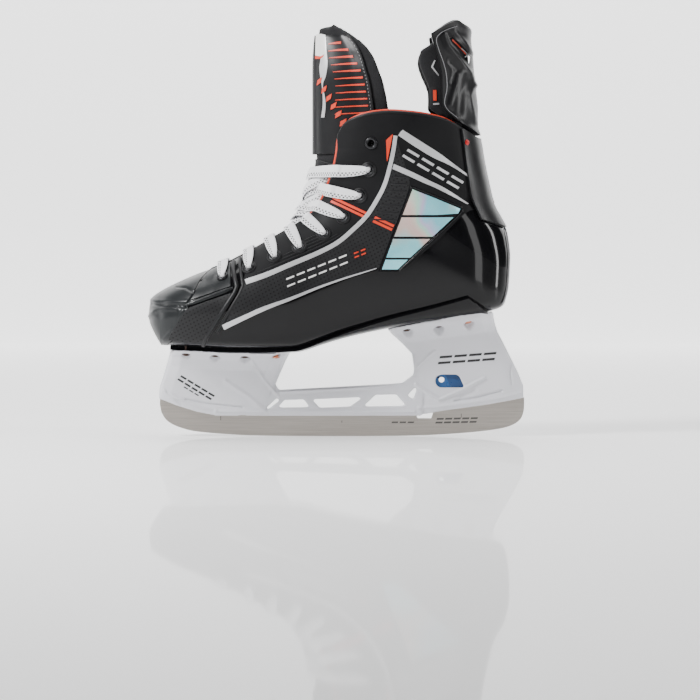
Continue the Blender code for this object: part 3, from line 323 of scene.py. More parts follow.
class Graph:
    """A material's nodes, added with short calls."""

    def __init__(self, name, roughness=0.5, metallic=0.0, coat=0.0, coat_roughness=0.05, sheen=0.0,
                 specular=0.5):
        self.material = bpy.data.materials.new(name)
        self.material.use_nodes = True
        self.tree = self.material.node_tree
        self.shader = self.tree.nodes["Principled BSDF"]
        for socket, value in (("Roughness", roughness), ("Metallic", metallic), ("Coat Weight", coat),
                              ("Coat Roughness", coat_roughness), ("Sheen Weight", sheen),
                              ("Specular IOR Level", specular)):
            self.shader.inputs[socket].default_value = value
        self.where = self.node("ShaderNodeTexCoord").outputs["Object"]
        self.last_normal = None

    def node(self, kind, inputs=None, **settings):
        made = self.tree.nodes.new(kind)
        for key, value in settings.items():
            setattr(made, key, value)
        for key, value in (inputs or {}).items():
            self.feed(made.inputs[key], value)
        return made

    def feed(self, socket, value):
        if isinstance(value, bpy.types.NodeSocket):
            self.tree.links.new(value, socket)
        else:
            socket.default_value = value

    def maths(self, operation, a, b=0.0, clamp=False):
        return self.node("ShaderNodeMath", {0: a, 1: b}, operation=operation, use_clamp=clamp).outputs[0]

    def stretched(self, scale):
        return self.node("ShaderNodeVectorMath", {0: self.where, 1: scale}, operation="MULTIPLY").outputs[0]

    def noise(self, scale, detail=4.0, roughness=0.55, where=None):
        inputs = {"Vector": where or self.where, "Scale": scale, "Detail": detail, "Roughness": roughness}
        return self.node("ShaderNodeTexNoise", inputs).outputs["Fac"]

    def cells(self, scale, where=None, feature="F1"):
        inputs = {"Vector": where or self.where, "Scale": scale}
        return self.node("ShaderNodeTexVoronoi", inputs, feature=feature).outputs["Distance"]

    def between(self, fac, low, high):
        """A number that goes from low to high as fac goes from 0.3 to 0.7."""
        inputs = {"Value": fac, "From Min": 0.3, "From Max": 0.7, "To Min": low, "To Max": high}
        return self.node("ShaderNodeMapRange", inputs).outputs["Result"]

    def ramp(self, fac, stops):
        made = self.node("ShaderNodeValToRGB", {"Fac": fac})
        while len(made.color_ramp.elements) < len(stops):
            made.color_ramp.elements.new(0.5)
        for element, (position, colour) in zip(made.color_ramp.elements, stops):
            element.position = position
            element.color = (*colour, 1.0)
        return made.outputs["Color"]

    def mix(self, fac, a, b):
        made = self.node("ShaderNodeMix", data_type="RGBA")
        for socket, value in (("Factor_Float", fac), ("A_Color", a), ("B_Color", b)):
            target = next(i for i in made.inputs if i.identifier == socket)
            self.feed(target, (*value, 1.0) if isinstance(value, tuple) else value)
        return next(o for o in made.outputs if o.identifier == "Result_Color")

    def split(self, vector=None):
        return self.node("ShaderNodeSeparateXYZ", {0: vector or self.where}).outputs

    def bump(self, height, strength, distance_mm):
        inputs = {"Height": height, "Strength": strength, "Distance": distance_mm * MM}
        if self.last_normal:
            inputs["Normal"] = self.last_normal
        self.last_normal = self.node("ShaderNodeBump", inputs).outputs["Normal"]

    def finish(self, colour=None, roughness=None):
        if colour is not None:
            self.feed(self.shader.inputs["Base Color"],
                      (*colour, 1.0) if isinstance(colour, tuple) else colour)
        if roughness is not None:
            self.feed(self.shader.inputs["Roughness"], roughness)
        if self.last_normal:
            self.feed(self.shader.inputs["Normal"], self.last_normal)
        return self.material


def dots(graph, pitch_x, pitch_z, radius, tilt=0.35):
    """1 inside staggered round dots laid out in the side view, 0 between them. Sizes are millimetres."""
    turned = graph.node("ShaderNodeVectorRotate",
                        {"Vector": graph.where, "Axis": (0, 1, 0), "Angle": -tilt})
    parts = graph.split(turned.outputs[0])
    found = None
    for shift in (0.0, 0.5):
        offsets = []
        for part, pitch in ((parts[0], pitch_x), (parts[2], pitch_z)):
            cell = graph.maths("FRACT",
                               graph.maths("ADD", graph.maths("DIVIDE", part, pitch * MM), 100.0 + shift))
            offsets.append(graph.maths("MULTIPLY", graph.maths("SUBTRACT", cell, 0.5), pitch))
        square = graph.maths("ADD",
                             *(graph.maths("POWER", graph.maths("ABSOLUTE", o), 2.0) for o in offsets))
        inside = graph.maths("LESS_THAN", square, radius**2)
        found = inside if found is None else graph.maths("MAXIMUM", found, inside)
    return found


def moulded(name, dark, light, roughness, grain=1400.0, depth=0.05, coat=0.0, coat_roughness=0.06,
            perforated=False, wear=0.0, metallic=0.0, specular=0.5):
    """Moulded or coated plastic: a fine grain, uneven gloss, and faint scuffs where wear is over 0."""
    g = Graph(name, metallic=metallic, coat=coat, coat_roughness=coat_roughness, specular=specular)
    broad, fine = g.noise(28.0, 3.0), g.noise(grain, 3.0)
    colour = g.mix(broad, dark, light)
    scuffs = g.noise(1.0, 6.0, 0.7, g.stretched((160.0, 160.0, 620.0)))
    marks = g.node("ShaderNodeMapRange",
                   {"Value": scuffs, "From Min": 0.66, "From Max": 0.74}).outputs["Result"]
    rough = g.maths("ADD", g.between(broad, roughness * 0.82, roughness * 1.18),
                    g.maths("MULTIPLY", marks, wear))
    g.bump(fine, 0.35, depth)
    if perforated:
        holes = dots(g, 3.9, 4.4, 0.62)
        # painted shade: the dots are darkened to a quarter of the dark tone as the shade inside the
        # perforations
        colour = g.mix(holes, colour, tuple(v * 0.25 for v in dark))
        rough = g.maths("ADD", rough, g.maths("MULTIPLY", holes, 0.2), clamp=True)
        g.bump(g.maths("SUBTRACT", 1.0, holes), 0.9, 0.45)
    return g.finish(colour, rough)


def metal(name, dark, light, roughness, along=(30.0, 900.0, 2600.0), metallic=1.0):
    """Metal with fine lines left by grinding or drawing."""
    g = Graph(name, metallic=metallic)
    lines, clouds = g.noise(1.0, 5.0, 0.6, g.stretched(along)), g.noise(40.0, 4.0)
    colour = g.mix(g.between(lines, 0.0, 1.0), dark, light)
    rough = g.maths("ADD", g.between(lines, roughness * 0.8, roughness * 1.2),
                    g.maths("MULTIPLY", clouds, 0.08))
    g.bump(lines, 0.12, 0.04)
    return g.finish(colour, rough)


def felt(name, dark, light, fuzz=1.0):
    """Pressed felt: short fibres in all directions, with a soft sheen."""
    g = Graph(name, roughness=0.95, sheen=0.12, specular=0.15)
    fibres = g.noise(1.0, 8.0, 0.75, g.stretched((2600.0, 2600.0, 900.0)))
    tufts, clouds = g.cells(900.0), g.noise(60.0, 4.0)
    colour = g.mix(g.between(fibres, 0.0, 1.0), dark, g.mix(clouds, light, tuple(v * 0.7 for v in light)))
    g.bump(fibres, 0.6 * fuzz, 0.35)
    g.bump(tufts, 0.35 * fuzz, 0.3)
    return g.finish(colour)


def woven(name, dark, light, pitch=1.3):
    """A knitted lining fabric: rows of small stitches."""
    g = Graph(name, roughness=0.9, sheen=0.15)
    parts = g.split()
    rows = [g.maths("SINE",
                    g.maths("MULTIPLY", part, 2 * math.pi / (pitch * MM))) for part in (parts[0], parts[2])]
    stitches = g.maths("MULTIPLY", *rows)
    height = g.maths("MULTIPLY_ADD", stitches, 0.5)
    height.node.inputs[2].default_value = 0.5
    # painted shade: the hollows between stitches are darker than the stitch tops
    colour = g.mix(height, dark, g.mix(g.noise(900.0), light, dark))
    g.bump(height, 0.7, 0.3)
    g.bump(g.noise(3000.0), 0.3, 0.1)
    return g.finish(colour)


def braided():
    """The lace: a flat white braid with two rows of dark tracer threads. u runs along it, v across."""
    g = Graph("lace_braid", roughness=0.85, sheen=0.3)
    parts = g.split(g.node("ShaderNodeUVMap", uv_map="UVMap").outputs["UV"])
    u, v = parts[0], parts[1]
    strands = []
    for slope in (1.0, -1.0):
        lean = g.maths("ADD", g.maths("MULTIPLY", u, 5.2), g.maths("MULTIPLY", v, 30.0 * slope))
        strands.append(g.maths("ABSOLUTE", g.maths("SINE", lean)))
    height = g.maths("MAXIMUM", *strands)
    marks = None
    for row, shift in ((0.17, 0.0), (0.33, 0.5)):
        cell = g.maths("FRACT", g.maths("ADD", g.maths("DIVIDE", u, 3.1), shift))
        near = g.maths("LESS_THAN", g.maths("ABSOLUTE", g.maths("SUBTRACT", cell, 0.5)), 0.22)
        level = g.maths("LESS_THAN", g.maths("ABSOLUTE", g.maths("SUBTRACT", v, row)), 0.06)
        mark = g.maths("MULTIPLY", near, level)
        marks = mark if marks is None else g.maths("MAXIMUM", marks, mark)
    # painted shade: the braid is greyer where its strands dip between their crests
    white = g.mix(height, (0.62, 0.62, 0.65), (0.9, 0.9, 0.91))
    colour = g.mix(marks, g.mix(g.noise(300.0), white, (0.8, 0.8, 0.82)), (0.02, 0.02, 0.025))
    g.bump(height, 0.7, 0.22)
    g.bump(g.noise(2500.0, 6.0), 0.3, 0.12)
    return g.finish(colour)


def foil():
    """The iridescent film of the ankle panel, which drifts from sand and rose to mint, cyan and lilac."""
    g = Graph("iridescent_foil", roughness=0.22, metallic=0.35, coat=0.6, coat_roughness=0.08)
    parts = g.split()
    slant = g.maths("ADD", g.maths("MULTIPLY", parts[0], 15.0), g.maths("MULTIPLY", parts[2], 9.0))
    slant = g.maths("ADD", slant, 0.38)  # where in its cycle the colour starts
    warp = g.noise(26.0, 2.0, 0.5)
    drift = g.maths("FRACT", g.maths("ADD", slant, g.maths("MULTIPLY", warp, 1.5)))
    stops = [(0.0, (0.10, 0.60, 0.74)), (0.16, (0.16, 0.70, 0.78)), (0.34, (0.62, 0.46, 0.38)),
             (0.5, (0.66, 0.42, 0.36)), (0.64, (0.60, 0.52, 0.42)), (0.76, (0.30, 0.66, 0.50)),
             (0.88, (0.46, 0.40, 0.66)), (1.0, (0.10, 0.60, 0.74))]
    flecks = g.cells(2400.0)
    g.bump(g.noise(1800.0, 3.0), 0.15, 0.05)
    return g.finish(g.mix(g.maths("MULTIPLY", flecks, 0.35), g.ramp(drift, stops), (0.85, 0.85, 0.88)))


def blue_with_painted_shade():
    """The trigger's plastic: mid blue round the finger hole, navy painted shade behind a slanting line."""
    g = Graph("trigger_blue", coat=0.3)
    parts = g.split()
    line = g.maths("ADD", parts[0], g.maths("MULTIPLY", parts[2], 0.46))
    # painted shade: everything behind the line is darkened to navy as the shade of the window's recess
    behind = g.maths("GREATER_THAN", line, (89.0 + 44.5 * 0.46) * MM)
    colour = g.mix(behind, (0.006, 0.10, 0.30), (0.002, 0.030, 0.11))
    g.bump(g.noise(1500.0), 0.3, 0.05)
    return g.finish(g.mix(g.noise(90.0), colour, (0.004, 0.06, 0.2)), g.between(g.noise(60.0), 0.25, 0.4))


def foam():
    """The footbed's cover: brushed fabric over foam, with a grid of small embossed dots."""
    g = Graph("footbed_cover", roughness=0.9, sheen=0.2)
    parts = g.split()
    waves = [g.maths("SINE",
                     g.maths("MULTIPLY", part, 2 * math.pi / (5.0 * MM))) for part in (parts[0], parts[1])]
    bosses = g.maths("GREATER_THAN", g.maths("MULTIPLY", *waves), 0.55)
    colour = g.mix(bosses, g.mix(g.noise(700.0), (0.04, 0.04, 0.045), (0.075, 0.075, 0.08)),
                   (0.30, 0.05, 0.02))
    g.bump(bosses, 0.5, 0.4)
    g.bump(g.noise(2600.0, 6.0), 0.5, 0.2)
    return g.finish(colour)


FINISH = {
    "gloss": moulded("shell_gloss", (0.0022, 0.0022, 0.0026), (0.005, 0.005, 0.0058), 0.14, 900.0, 0.015,
                     coat=0.32, coat_roughness=0.03, wear=0.08, specular=0.08),
    "toe": moulded("toe_plastic", (0.008, 0.009, 0.010), (0.015, 0.017, 0.018), 0.34, 1600.0, 0.03,
                   coat=0.08, coat_roughness=0.12, wear=0.15, specular=0.25),
    "matte": moulded("quarter_matte", (0.005, 0.005, 0.0055), (0.010, 0.010, 0.011), 0.5, 2600.0, 0.08,
                     wear=0.10, specular=0.11),
    "perforated": moulded("quarter_perforated", (0.008, 0.008, 0.009), (0.014, 0.014, 0.015), 0.5, 2600.0,
                          0.08, perforated=True, specular=0.25),
    "silver": moulded("silver_film", (0.46, 0.46, 0.47), (0.58, 0.58, 0.59), 0.34, 2200.0, 0.04,
                      metallic=0.35),
    "white_film": moulded("white_film", (0.66, 0.65, 0.64), (0.78, 0.77, 0.76), 0.4, 2200.0, 0.04),
    "orange": moulded("orange_film", (0.60, 0.030, 0.006), (0.72, 0.048, 0.010), 0.42, 2000.0, 0.05),
    "guard": moulded("guard_plastic", (0.004, 0.004, 0.0045), (0.009, 0.009, 0.010), 0.36, 1500.0, 0.03,
                     coat=0.10, coat_roughness=0.2, wear=0.15, specular=0.22),
    # rim: a light grey band on the guard, a painted highlight along its front rim
    "rim": moulded("guard_rim_painted_highlight", (0.16, 0.16, 0.165), (0.24, 0.24, 0.25), 0.35, 1500.0, 0.03),
    "rubber": moulded("edge_binding", (0.007, 0.007, 0.008), (0.014, 0.014, 0.015), 0.45, 1800.0, 0.08,
                      specular=0.25),
    "holder": moulded("holder_white", (0.60, 0.60, 0.635), (0.66, 0.66, 0.70), 0.36, 900.0, 0.03, coat=0.25,
                      coat_roughness=0.2, wear=0.12),
    "ink": moulded("black_ink", (0.006, 0.006, 0.007), (0.014, 0.014, 0.015), 0.4, 2000.0, 0.02),
    "etched": metal("etched_mark", (0.10, 0.095, 0.09), (0.15, 0.145, 0.14), 0.55),
    "steel": metal("runner_steel", (0.40, 0.365, 0.33), (0.56, 0.52, 0.475), 0.30),
    "spring": metal("spring_wire", (0.5, 0.5, 0.5), (0.62, 0.62, 0.62), 0.25),
    "rivet": metal("dark_rivet", (0.05, 0.035, 0.03), (0.10, 0.07, 0.06), 0.4, (300.0, 300.0, 300.0)),
    "copper": metal("copper_rivet", (0.42, 0.13, 0.07), (0.62, 0.25, 0.15), 0.35, (300.0, 300.0, 300.0)),
    "gunmetal": metal("eyelet_metal", (0.012, 0.012, 0.013), (0.035, 0.035, 0.038), 0.28,
                      (200.0, 200.0, 200.0), 0.7),
    "red_metal": metal("guard_rivet_red", (0.35, 0.01, 0.01), (0.55, 0.03, 0.03), 0.3,
                       (200.0, 200.0, 200.0), 0.6),
    "felt": felt("tongue_felt", (0.007, 0.007, 0.008), (0.030, 0.030, 0.032)),
    "pad_felt": felt("pad_felt", (0.008, 0.008, 0.009), (0.028, 0.028, 0.030), 0.8),
    "lining": woven("lining_knit", (0.010, 0.010, 0.011), (0.040, 0.040, 0.043)),
    "board": moulded("insole_board", (0.20, 0.19, 0.17), (0.30, 0.28, 0.25), 0.8, 1200.0, 0.15),
    "footbed": foam(),
    "face": moulded("tongue_face", (0.006, 0.006, 0.007), (0.012, 0.012, 0.013), 0.34, 1700.0, 0.04,
                    specular=0.25),
    "thread": moulded("stitching", (0.16, 0.16, 0.165), (0.26, 0.26, 0.27), 0.6, 3000.0, 0.1),
    "lace": braided(),
    "foil": foil(),
    "blue": blue_with_painted_shade(),
}

# ---------------------------------------------------------------- mesh building


def object_from(name, vertices, faces, finish, uvs=None, sharp=40.0, fix_normals=True):
    """A mesh object from points in millimetres, with its faces turned outwards."""
    data = bpy.data.meshes.new(name)
    data.from_pydata([tuple(v) for v in np.asarray(vertices, float) * MM], [], faces)
    if uvs is not None:
        layer = data.uv_layers.new(name="UVMap")
        index = np.zeros(len(data.loops), int)
        data.loops.foreach_get("vertex_index", index)
        layer.data.foreach_set("uv", np.asarray(uvs, float)[index].ravel())
    if fix_normals:
        bm = bmesh.new()
        bm.from_mesh(data)
        bmesh.ops.remove_doubles(bm, verts=bm.verts, dist=0.004 * MM)
        bmesh.ops.recalc_face_normals(bm, faces=bm.faces)
        bm.to_mesh(data)
        bm.free()
    data.shade_smooth()
    data.set_sharp_from_angle(angle=math.radians(sharp))
    data.materials.append(FINISH[finish])
    made = bpy.data.objects.new(name, data)
    bpy.context.scene.collection.objects.link(made)
    return made


def slab_mesh(outer, inner, loop=False, cap=False, first=0):
    """(vertices, faces) of the closed body between two grids of points with the same shape."""
    rows, count = len(outer), len(outer[0])
    points = np.concatenate([np.reshape(outer, (-1, 3)), np.reshape(inner, (-1, 3))])
    half = rows * count
    faces = []
    columns = count if loop else count - 1
    for i in range(rows - 1):
        for j in range(columns):
            k = (j + 1) % count
            a, b, c, d = i * count + j, i * count + k, (i + 1) * count + k, (i + 1) * count + j
            faces.append((a, b, c, d))
            faces.append((half + d, half + c, half + b, half + a))
    for i in ([rows - 1] if cap else [0, rows - 1]):
        for j in range(columns):
            k = (j + 1) % count
            a, b = i * count + j, i * count + k
            faces.append((a, b, half + b, half + a))
    if not loop:
        for j in (0, count - 1):
            for i in range(rows - 1):
                a, b = i * count + j, (i + 1) * count + j
                faces.append((a, b, half + b, half + a))
    if cap:
        for base in (0, half):
            points = np.concatenate([points, [points[base:base + count].mean(axis=0)]])
            tip = len(points) - 1
            faces += [(base + j, base + (j + 1) % count, tip) for j in range(count)]
    return points, [tuple(v + first for v in face) for face in faces]


def slabs(name, pairs, finish, bevel=0.0, loop=False, cap=False, sharp=40.0):
    """One object of closed bodies, each between an outer and an inner grid."""
    points, faces = np.zeros((0, 3)), []
    for outer, inner in pairs:
        more, more_faces = slab_mesh(outer, inner, loop, cap, len(points))
        points = np.concatenate([points, more])
        faces += more_faces
    obj = object_from(name, points, faces, finish, sharp=sharp)
    if bevel:
        round_edges(obj, bevel)
    return obj


def round_edges(obj, width, segments=2, angle=50.0):
    mod = obj.modifiers.new("rounded", "BEVEL")
    mod.width = width * MM
    mod.segments = segments
    mod.limit_method = "ANGLE"
    mod.angle_limit = math.radians(angle)
    mod.use_clamp_overlap = True
    mod.harden_normals = False


def settle(obj, body, slot, *nodes):
    """Puts a finished piece on its body and hides the CAD nodes it stands for; slot is not used."""
    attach(obj, body)
    if nodes:
        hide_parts(*nodes)
    return obj


def curve(points, count, smoothed=True):
    return resample(spline(points) if smoothed else points, count)


def on_boot(x, z, side, lift):
    return BOOT.place(x, z, side, lift)


def patch(name, top, bottom, finish, lift=0.9, wall=0.3, columns=60, rows=5, bevel=0.12, smoothed=True,
          sides=SIDES, place=on_boot, body="boot", slot="gloss_shell"):
    """A thin plate laid on a surface between two side-view curves, on each side."""
    a, b = curve(top, columns, smoothed), curve(bottom, columns, smoothed)
    pairs = []
    for side in sides:
        outer, inner = [], []
        for v in np.linspace(0, 1, rows):
            placed = [place(*(p + (q - p) * v), side, lift) for p, q in zip(a, b)]
            inner.append([p for p, _ in placed])
            outer.append([p + n * wall for p, n in placed])
        pairs.append((outer, inner))
    return settle(slabs(name, pairs, finish, bevel), body, slot)


def sweep_mesh(centres, normals, widths, heights, power=2.0, around=12, first=0):
    """(vertices, faces, uvs) of a flat or round band along a path; its section is a rounded oval."""
    centres, normals = np.asarray(centres, float), np.asarray(normals, float)
    along = np.gradient(centres, axis=0)
    along /= np.maximum(np.linalg.norm(along, axis=1, keepdims=True), 1e-9)
    up = normals - along * np.sum(normals * along, axis=1, keepdims=True)
    up /= np.maximum(np.linalg.norm(up, axis=1, keepdims=True), 1e-9)
    across = np.cross(along, up)
    lengths = np.concatenate([[0], np.cumsum(np.linalg.norm(np.diff(centres, axis=0), axis=1))])
    angles = np.arange(around) * 2 * math.pi / around
    c, s = np.cos(angles), np.sin(angles)
    flat = np.sign(c) * np.abs(c) ** (2 / power)
    thick = np.sign(s) * np.abs(s) ** (2 / power)
    w = np.broadcast_to(widths, len(centres))[:, None, None] / 2
    h = np.broadcast_to(heights, len(centres))[:, None, None] / 2
    rings = centres[:, None] + across[:, None] * flat[None, :,
                                                      None] * w + up[:, None] * thick[None, :, None] * h
    n = len(centres)
    faces = [(first + i * around + j, first + i * around + (j + 1) % around,
              first + (i + 1) * around + (j + 1) % around, first + (i + 1) * around + j)
             for i in range(n - 1) for j in range(around)]
    faces += [tuple(first + j for j in range(around)),
              tuple(first + (n - 1) * around + j for j in range(around))]
    uvs = np.stack([np.repeat(lengths, around), np.tile((flat + 1) / 2, n)], axis=1)
    return rings.reshape(-1, 3), faces, uvs


def bands(name, paths, finish, power=2.0, around=12, sharp=60.0):
    """One object of bands; each path is (centres, normals, widths, heights)."""
    points, faces, uvs = np.zeros((0, 3)), [], np.zeros((0, 2))
    for path in paths:
        more, more_faces, more_uvs = sweep_mesh(*path, power, around, len(points))
        points, faces, uvs = np.concatenate([points,
                                             more]), faces + more_faces, np.concatenate([uvs, more_uvs])
    return object_from(name, points, faces, finish, uvs, sharp)


def rib(name, line, finish, width, height, lift=0.0, count=60, sides=SIDES, place=on_boot, body="boot",
        slot="gloss_shell", power=2.0, taper=0.0, smoothed=True):
    """A rounded rib laid on a surface along a side-view line; taper narrows both its ends."""
    paths = []
    ease = np.minimum(1.0, np.minimum(np.linspace(0, 1, count), np.linspace(1, 0, count)) * 6)
    for side in sides:
        placed = [place(x, z, side, lift) for x, z in curve(line, count, smoothed)]
        narrow = 1 - taper * (1 - ease)
        paths.append(([p for p, _ in placed], [n for _, n in placed], width * narrow, height * narrow))
    return settle(bands(name, paths, finish, power), body, slot)


def turned(name, profile, centre, axis, finish, steps=28):
    """A turned piece from a closed (radius, height) profile, standing on centre along axis."""
    turn = Vector(axis).to_track_quat("Z", "Y").to_matrix()
    angles = np.arange(steps) * 2 * math.pi / steps
    points = []
    for r, h in profile:
        for a in angles:
            points.append(Vector(centre) + turn @ Vector((r * math.cos(a), r * math.sin(a), h)))
    n = len(profile)
    faces = [(i * steps + j, i * steps + (j + 1) % steps, ((i + 1) % n) * steps + (j + 1) % steps,
              ((i + 1) % n) * steps + j) for i in range(n) for j in range(steps)]
    return object_from(name, points, faces, finish, sharp=50.0)


def plate(name, outlines, thickness, finish):
    """A flat plate in the side view: closed outlines of (x, z), the later ones holes."""
    data = bpy.data.curves.new(name, "CURVE")
    data.dimensions, data.fill_mode = "2D", "BOTH"
    data.extrude = thickness / 2 * MM
    for points in outlines:
        line = data.splines.new("POLY")
        line.points.add(len(points) - 1)
        for p, (x, z) in zip(line.points, points):
            p.co = (x * MM, z * MM, 0, 1)
        line.use_cyclic_u = True
    flat = bpy.data.objects.new(name + "_curve", data)
    bpy.context.scene.collection.objects.link(flat)
    flat.rotation_euler = (math.pi / 2, 0, 0)
    bpy.context.view_layer.update()
    mesh = bpy.data.meshes.new_from_object(flat.evaluated_get(bpy.context.evaluated_depsgraph_get()))
    mesh.transform(flat.matrix_world)
    bpy.data.objects.remove(flat)
    bm = bmesh.new()
    bm.from_mesh(mesh)
    bmesh.ops.remove_doubles(bm, verts=bm.verts, dist=0.005 * MM)
    bmesh.ops.recalc_face_normals(bm, faces=bm.faces)
    bm.to_mesh(mesh)
    bm.free()
    mesh.name = name
    mesh.materials.clear()
    mesh.materials.append(FINISH[finish])
    made = bpy.data.objects.new(name, mesh)
    bpy.context.scene.collection.objects.link(made)
    return made


def apply_modifiers(obj):
    """Replaces an object's mesh by what its modifiers make of it."""
    bpy.context.view_layer.update()
    made = bpy.data.meshes.new_from_object(obj.evaluated_get(bpy.context.evaluated_depsgraph_get()))
    obj.modifiers.clear()
    obj.data = made
    return obj


def cut(obj, cutter, solver="MANIFOLD"):
    mod = obj.modifiers.new("cut", "BOOLEAN")
    mod.operation, mod.object, mod.solver = "DIFFERENCE", cutter, solver
    apply_modifiers(obj)
    obj.data.shade_smooth()
    obj.data.set_sharp_from_angle(angle=math.radians(40))
    return obj


def coordinates(obj):
    flat = np.zeros(len(obj.data.vertices) * 3)
    obj.data.vertices.foreach_get("co", flat)
    return flat.reshape(-1, 3)


def set_coordinates(obj, points):
    obj.data.vertices.foreach_set("co", np.asarray(points).ravel())
    obj.data.update()


def remeshed(obj, voxel, rounds=2):
    """Rebuilds a closed mesh in even quads of this size, with softened edges."""
    mod = obj.modifiers.new("voxels", "REMESH")
    mod.mode, mod.voxel_size, mod.use_smooth_shade = "VOXEL", voxel * MM, True
    if rounds:
        ease = obj.modifiers.new("ease", "SMOOTH")
        ease.factor, ease.iterations = 0.5, rounds
    finish = obj.data.materials[0]
    apply_modifiers(obj)
    obj.data.materials.clear()
    obj.data.materials.append(finish)
    return obj


PRESSURE, SIM_FRAMES = 4.0, 20


def swollen(obj, voxel, cap):
    """Pads a closed form: a short pressure simulation that moves no point further than cap."""
    remeshed(obj, voxel, 3)
    rest = coordinates(obj)
    cloth = obj.modifiers.new("swell", "CLOTH")
    cloth.settings.use_pressure = True
    cloth.settings.uniform_pressure_force = PRESSURE
    cloth.settings.effector_weights.gravity = 0.0
    for step in range(1, SIM_FRAMES + 1):
        bpy.context.scene.frame_set(step)
    apply_modifiers(obj)
    move = coordinates(obj) - rest
    length = np.linalg.norm(move, axis=1, keepdims=True)
    set_coordinates(obj, rest + move * np.minimum(1.0, cap * MM / np.maximum(length, 1e-9)))
    bpy.context.scene.frame_set(1)
    finer = obj.modifiers.new("finer", "SUBSURF")
    finer.levels = finer.render_levels = 1
    apply_modifiers(obj)
    obj.data.shade_smooth()
    return obj


def near_line(points, line):
    """Distance of (x, z) points to a polyline."""
    best = np.full(len(points), 1e9)
    line = np.asarray(line, float)
    for a, b in zip(line[:-1], line[1:]):
        e = b - a
        u = np.clip(((points - a) @ e) / max(e @ e, 1e-9), 0, 1)
        best = np.minimum(best, np.linalg.norm(points - (a + u[:, None] * e), axis=1))
    return best


def ridge(points, line, width, height):
    """A raised line with a round top, or a groove where height is below 0."""
    return height * np.exp(-((near_line(points, line) / width) ** 2))


# ---------------------------------------------------------------- the shell, toe and lining

TOE_SEAM = smooth([(0.0, -99.0), (0.25, -108.0), (0.45, -116.5), (0.62, -126.0), (0.74, -133.0),
                   (1.0, -134.0)])
EYELETS = [
    (-89.5, 127.6), (-68.5, 134.8), (-48.5, 143.6), (-29.0, 151.0), (-9.8, 161.8), (5.6, 175.2),
    (18.6, 191.8), (25.6, 212.2), (27.5, 232.8),
]
LACED = 8
EYELET_HOLE = 3.4


def eyelet_place(index, side):
    point, normal = BOOT.place(*EYELETS[index], side)
    return Vector(point), Vector(normal)


def both_sides(rows):
    """Rows down the lateral side and up the medial one, from a function of the side that gives a grid."""
    lateral, medial = rows(LATERAL), rows(MEDIAL)
    return np.concatenate([lateral, medial[:, -2::-1]], axis=1)


def shell_rows(count_t, t_end=1.0):
    """(s, t) of the fine rows that cover the shell: they crowd where the heel turns."""
    shares = np.concatenate([np.linspace(0, 0.23, 26)[:-1], np.linspace(0.23, 0.62, 120)[:-1],
                             np.linspace(0.62, 1, 22)])
    t = np.linspace(0, t_end, count_t)
    first = np.array([s_of_x(TOE_SEAM(float(v)) + 0.35) for v in t])
    s = first[None, :] + (S_COLLAR - first[None, :]) * shares[:, None]
    return s, np.broadcast_to(t, s.shape)


def hole_cutter(radius, places, length=24.0):
    """One closed cutter of separate cylinders."""
    bm = bmesh.new()
    for centre, axis in places:
        turn = axis.to_track_quat("Z", "Y").to_matrix().to_4x4()
        bmesh.ops.create_cone(bm, cap_ends=True, segments=24, radius1=radius * MM, radius2=radius * MM,
                              depth=length * MM, matrix=Matrix.Translation(centre * MM) @ turn)
    data = bpy.data.meshes.new("holes")
    bm.to_mesh(data)
    bm.free()
    made = bpy.data.objects.new("holes", data)
    bpy.context.scene.collection.objects.link(made)
    return made


HOLES = hole_cutter(EYELET_HOLE, [eyelet_place(i, side) for i in range(len(EYELETS)) for side in SIDES])

# The boundary between the matte quarter and the gloss shell, and the main side graphics.
QUARTER_LOW = [
    (-90.0, 86.5), (-60.0, 100.8), (-37.2, 109.2), (-13.7, 118.7), (9.8, 127.0), (31.0, 132.6),
    (36.0, 131.6), (49.5, 131.6), (62.0, 141.0), (80.0, 157.0), (100.0, 177.0), (106.0, 180.5),
    (128.0, 181.0),
]
QUARTER_FRONT = [(-73.5, 146.2), (-70.0, 121.5), (-73.0, 114.5), (-81.5, 99.5), (-90.0, 86.5)]
MAIN_CURVE = [
    (-71.0, 123.4), (-54.4, 129.2), (-37.2, 136.6), (-13.7, 146.6), (1.5, 154.8), (13.3, 164.8),
    (23.8, 175.3), (32.0, 188.2), (37.9, 200.0), (42.0, 214.0), (45.0, 228.2), (46.4, 238.6),
]
LOW_LINE = [(-88.6, 88.4), (-60.0, 101.8), (-37.2, 110.2), (-13.7, 119.6), (9.8, 127.8), (31.5, 134.6)]
PANEL_LEFT = [(35.8, 133.7), (60.0, 196.7)]
PANEL_RIGHT = [(48.2, 133.7), (97.2, 179.4)]
SKIN_WALL = 0.9


def boot_shell():
    """The one-piece gloss shell."""
    s, t = shell_rows(92)
    outer = both_sides(lambda side: BOOT.at(s, t, side, 0.0, from_edge=True))
    inner = both_sides(lambda side: BOOT.at(s, t, side, -SHELL_WALL, from_edge=True))
    shell = slabs("shell", [(outer, inner)], "gloss")
    cut(shell, HOLES)
    round_edges(shell, 0.7, 3, 60)
    settle(shell, "boot", "gloss_shell", "boot_shell")


def toe_relief(points):
    """How far each (x, z) point of the toe cap is raised: seams, the bumper and the crease over it."""
    relief = ridge(points, [(-126.5, 119.7), (-118.9, 119.4), (-112.7, 116.0), (-104.8, 112.7)], 0.8, -0.9)
    relief += ridge(points, [(-101.7, 129.5), (-110.3, 117.9), (-115.8, 108.7), (-118.9, 104.4)], 0.8, -0.9)
    relief += ridge(points, [(-147.0, 106.2), (-138.0, 105.4), (-119.0, 105.0)], 1.6, -1.3)
    relief += ridge(points, [(-149.5, 96.0), (-144.0, 100.6), (-134.0, 102.6), (-126.0, 103.0)], 1.8, 0.9)
    relief += ridge(points, [(-148.5, 109.0), (-138.0, 108.4), (-117.0, 108.4)], 1.4, 0.5)
    relief += ridge(points, [(-137.0, 78.0), (-127.5, 88.5), (-120.5, 101.5)], 1.3, 0.5)
    return relief


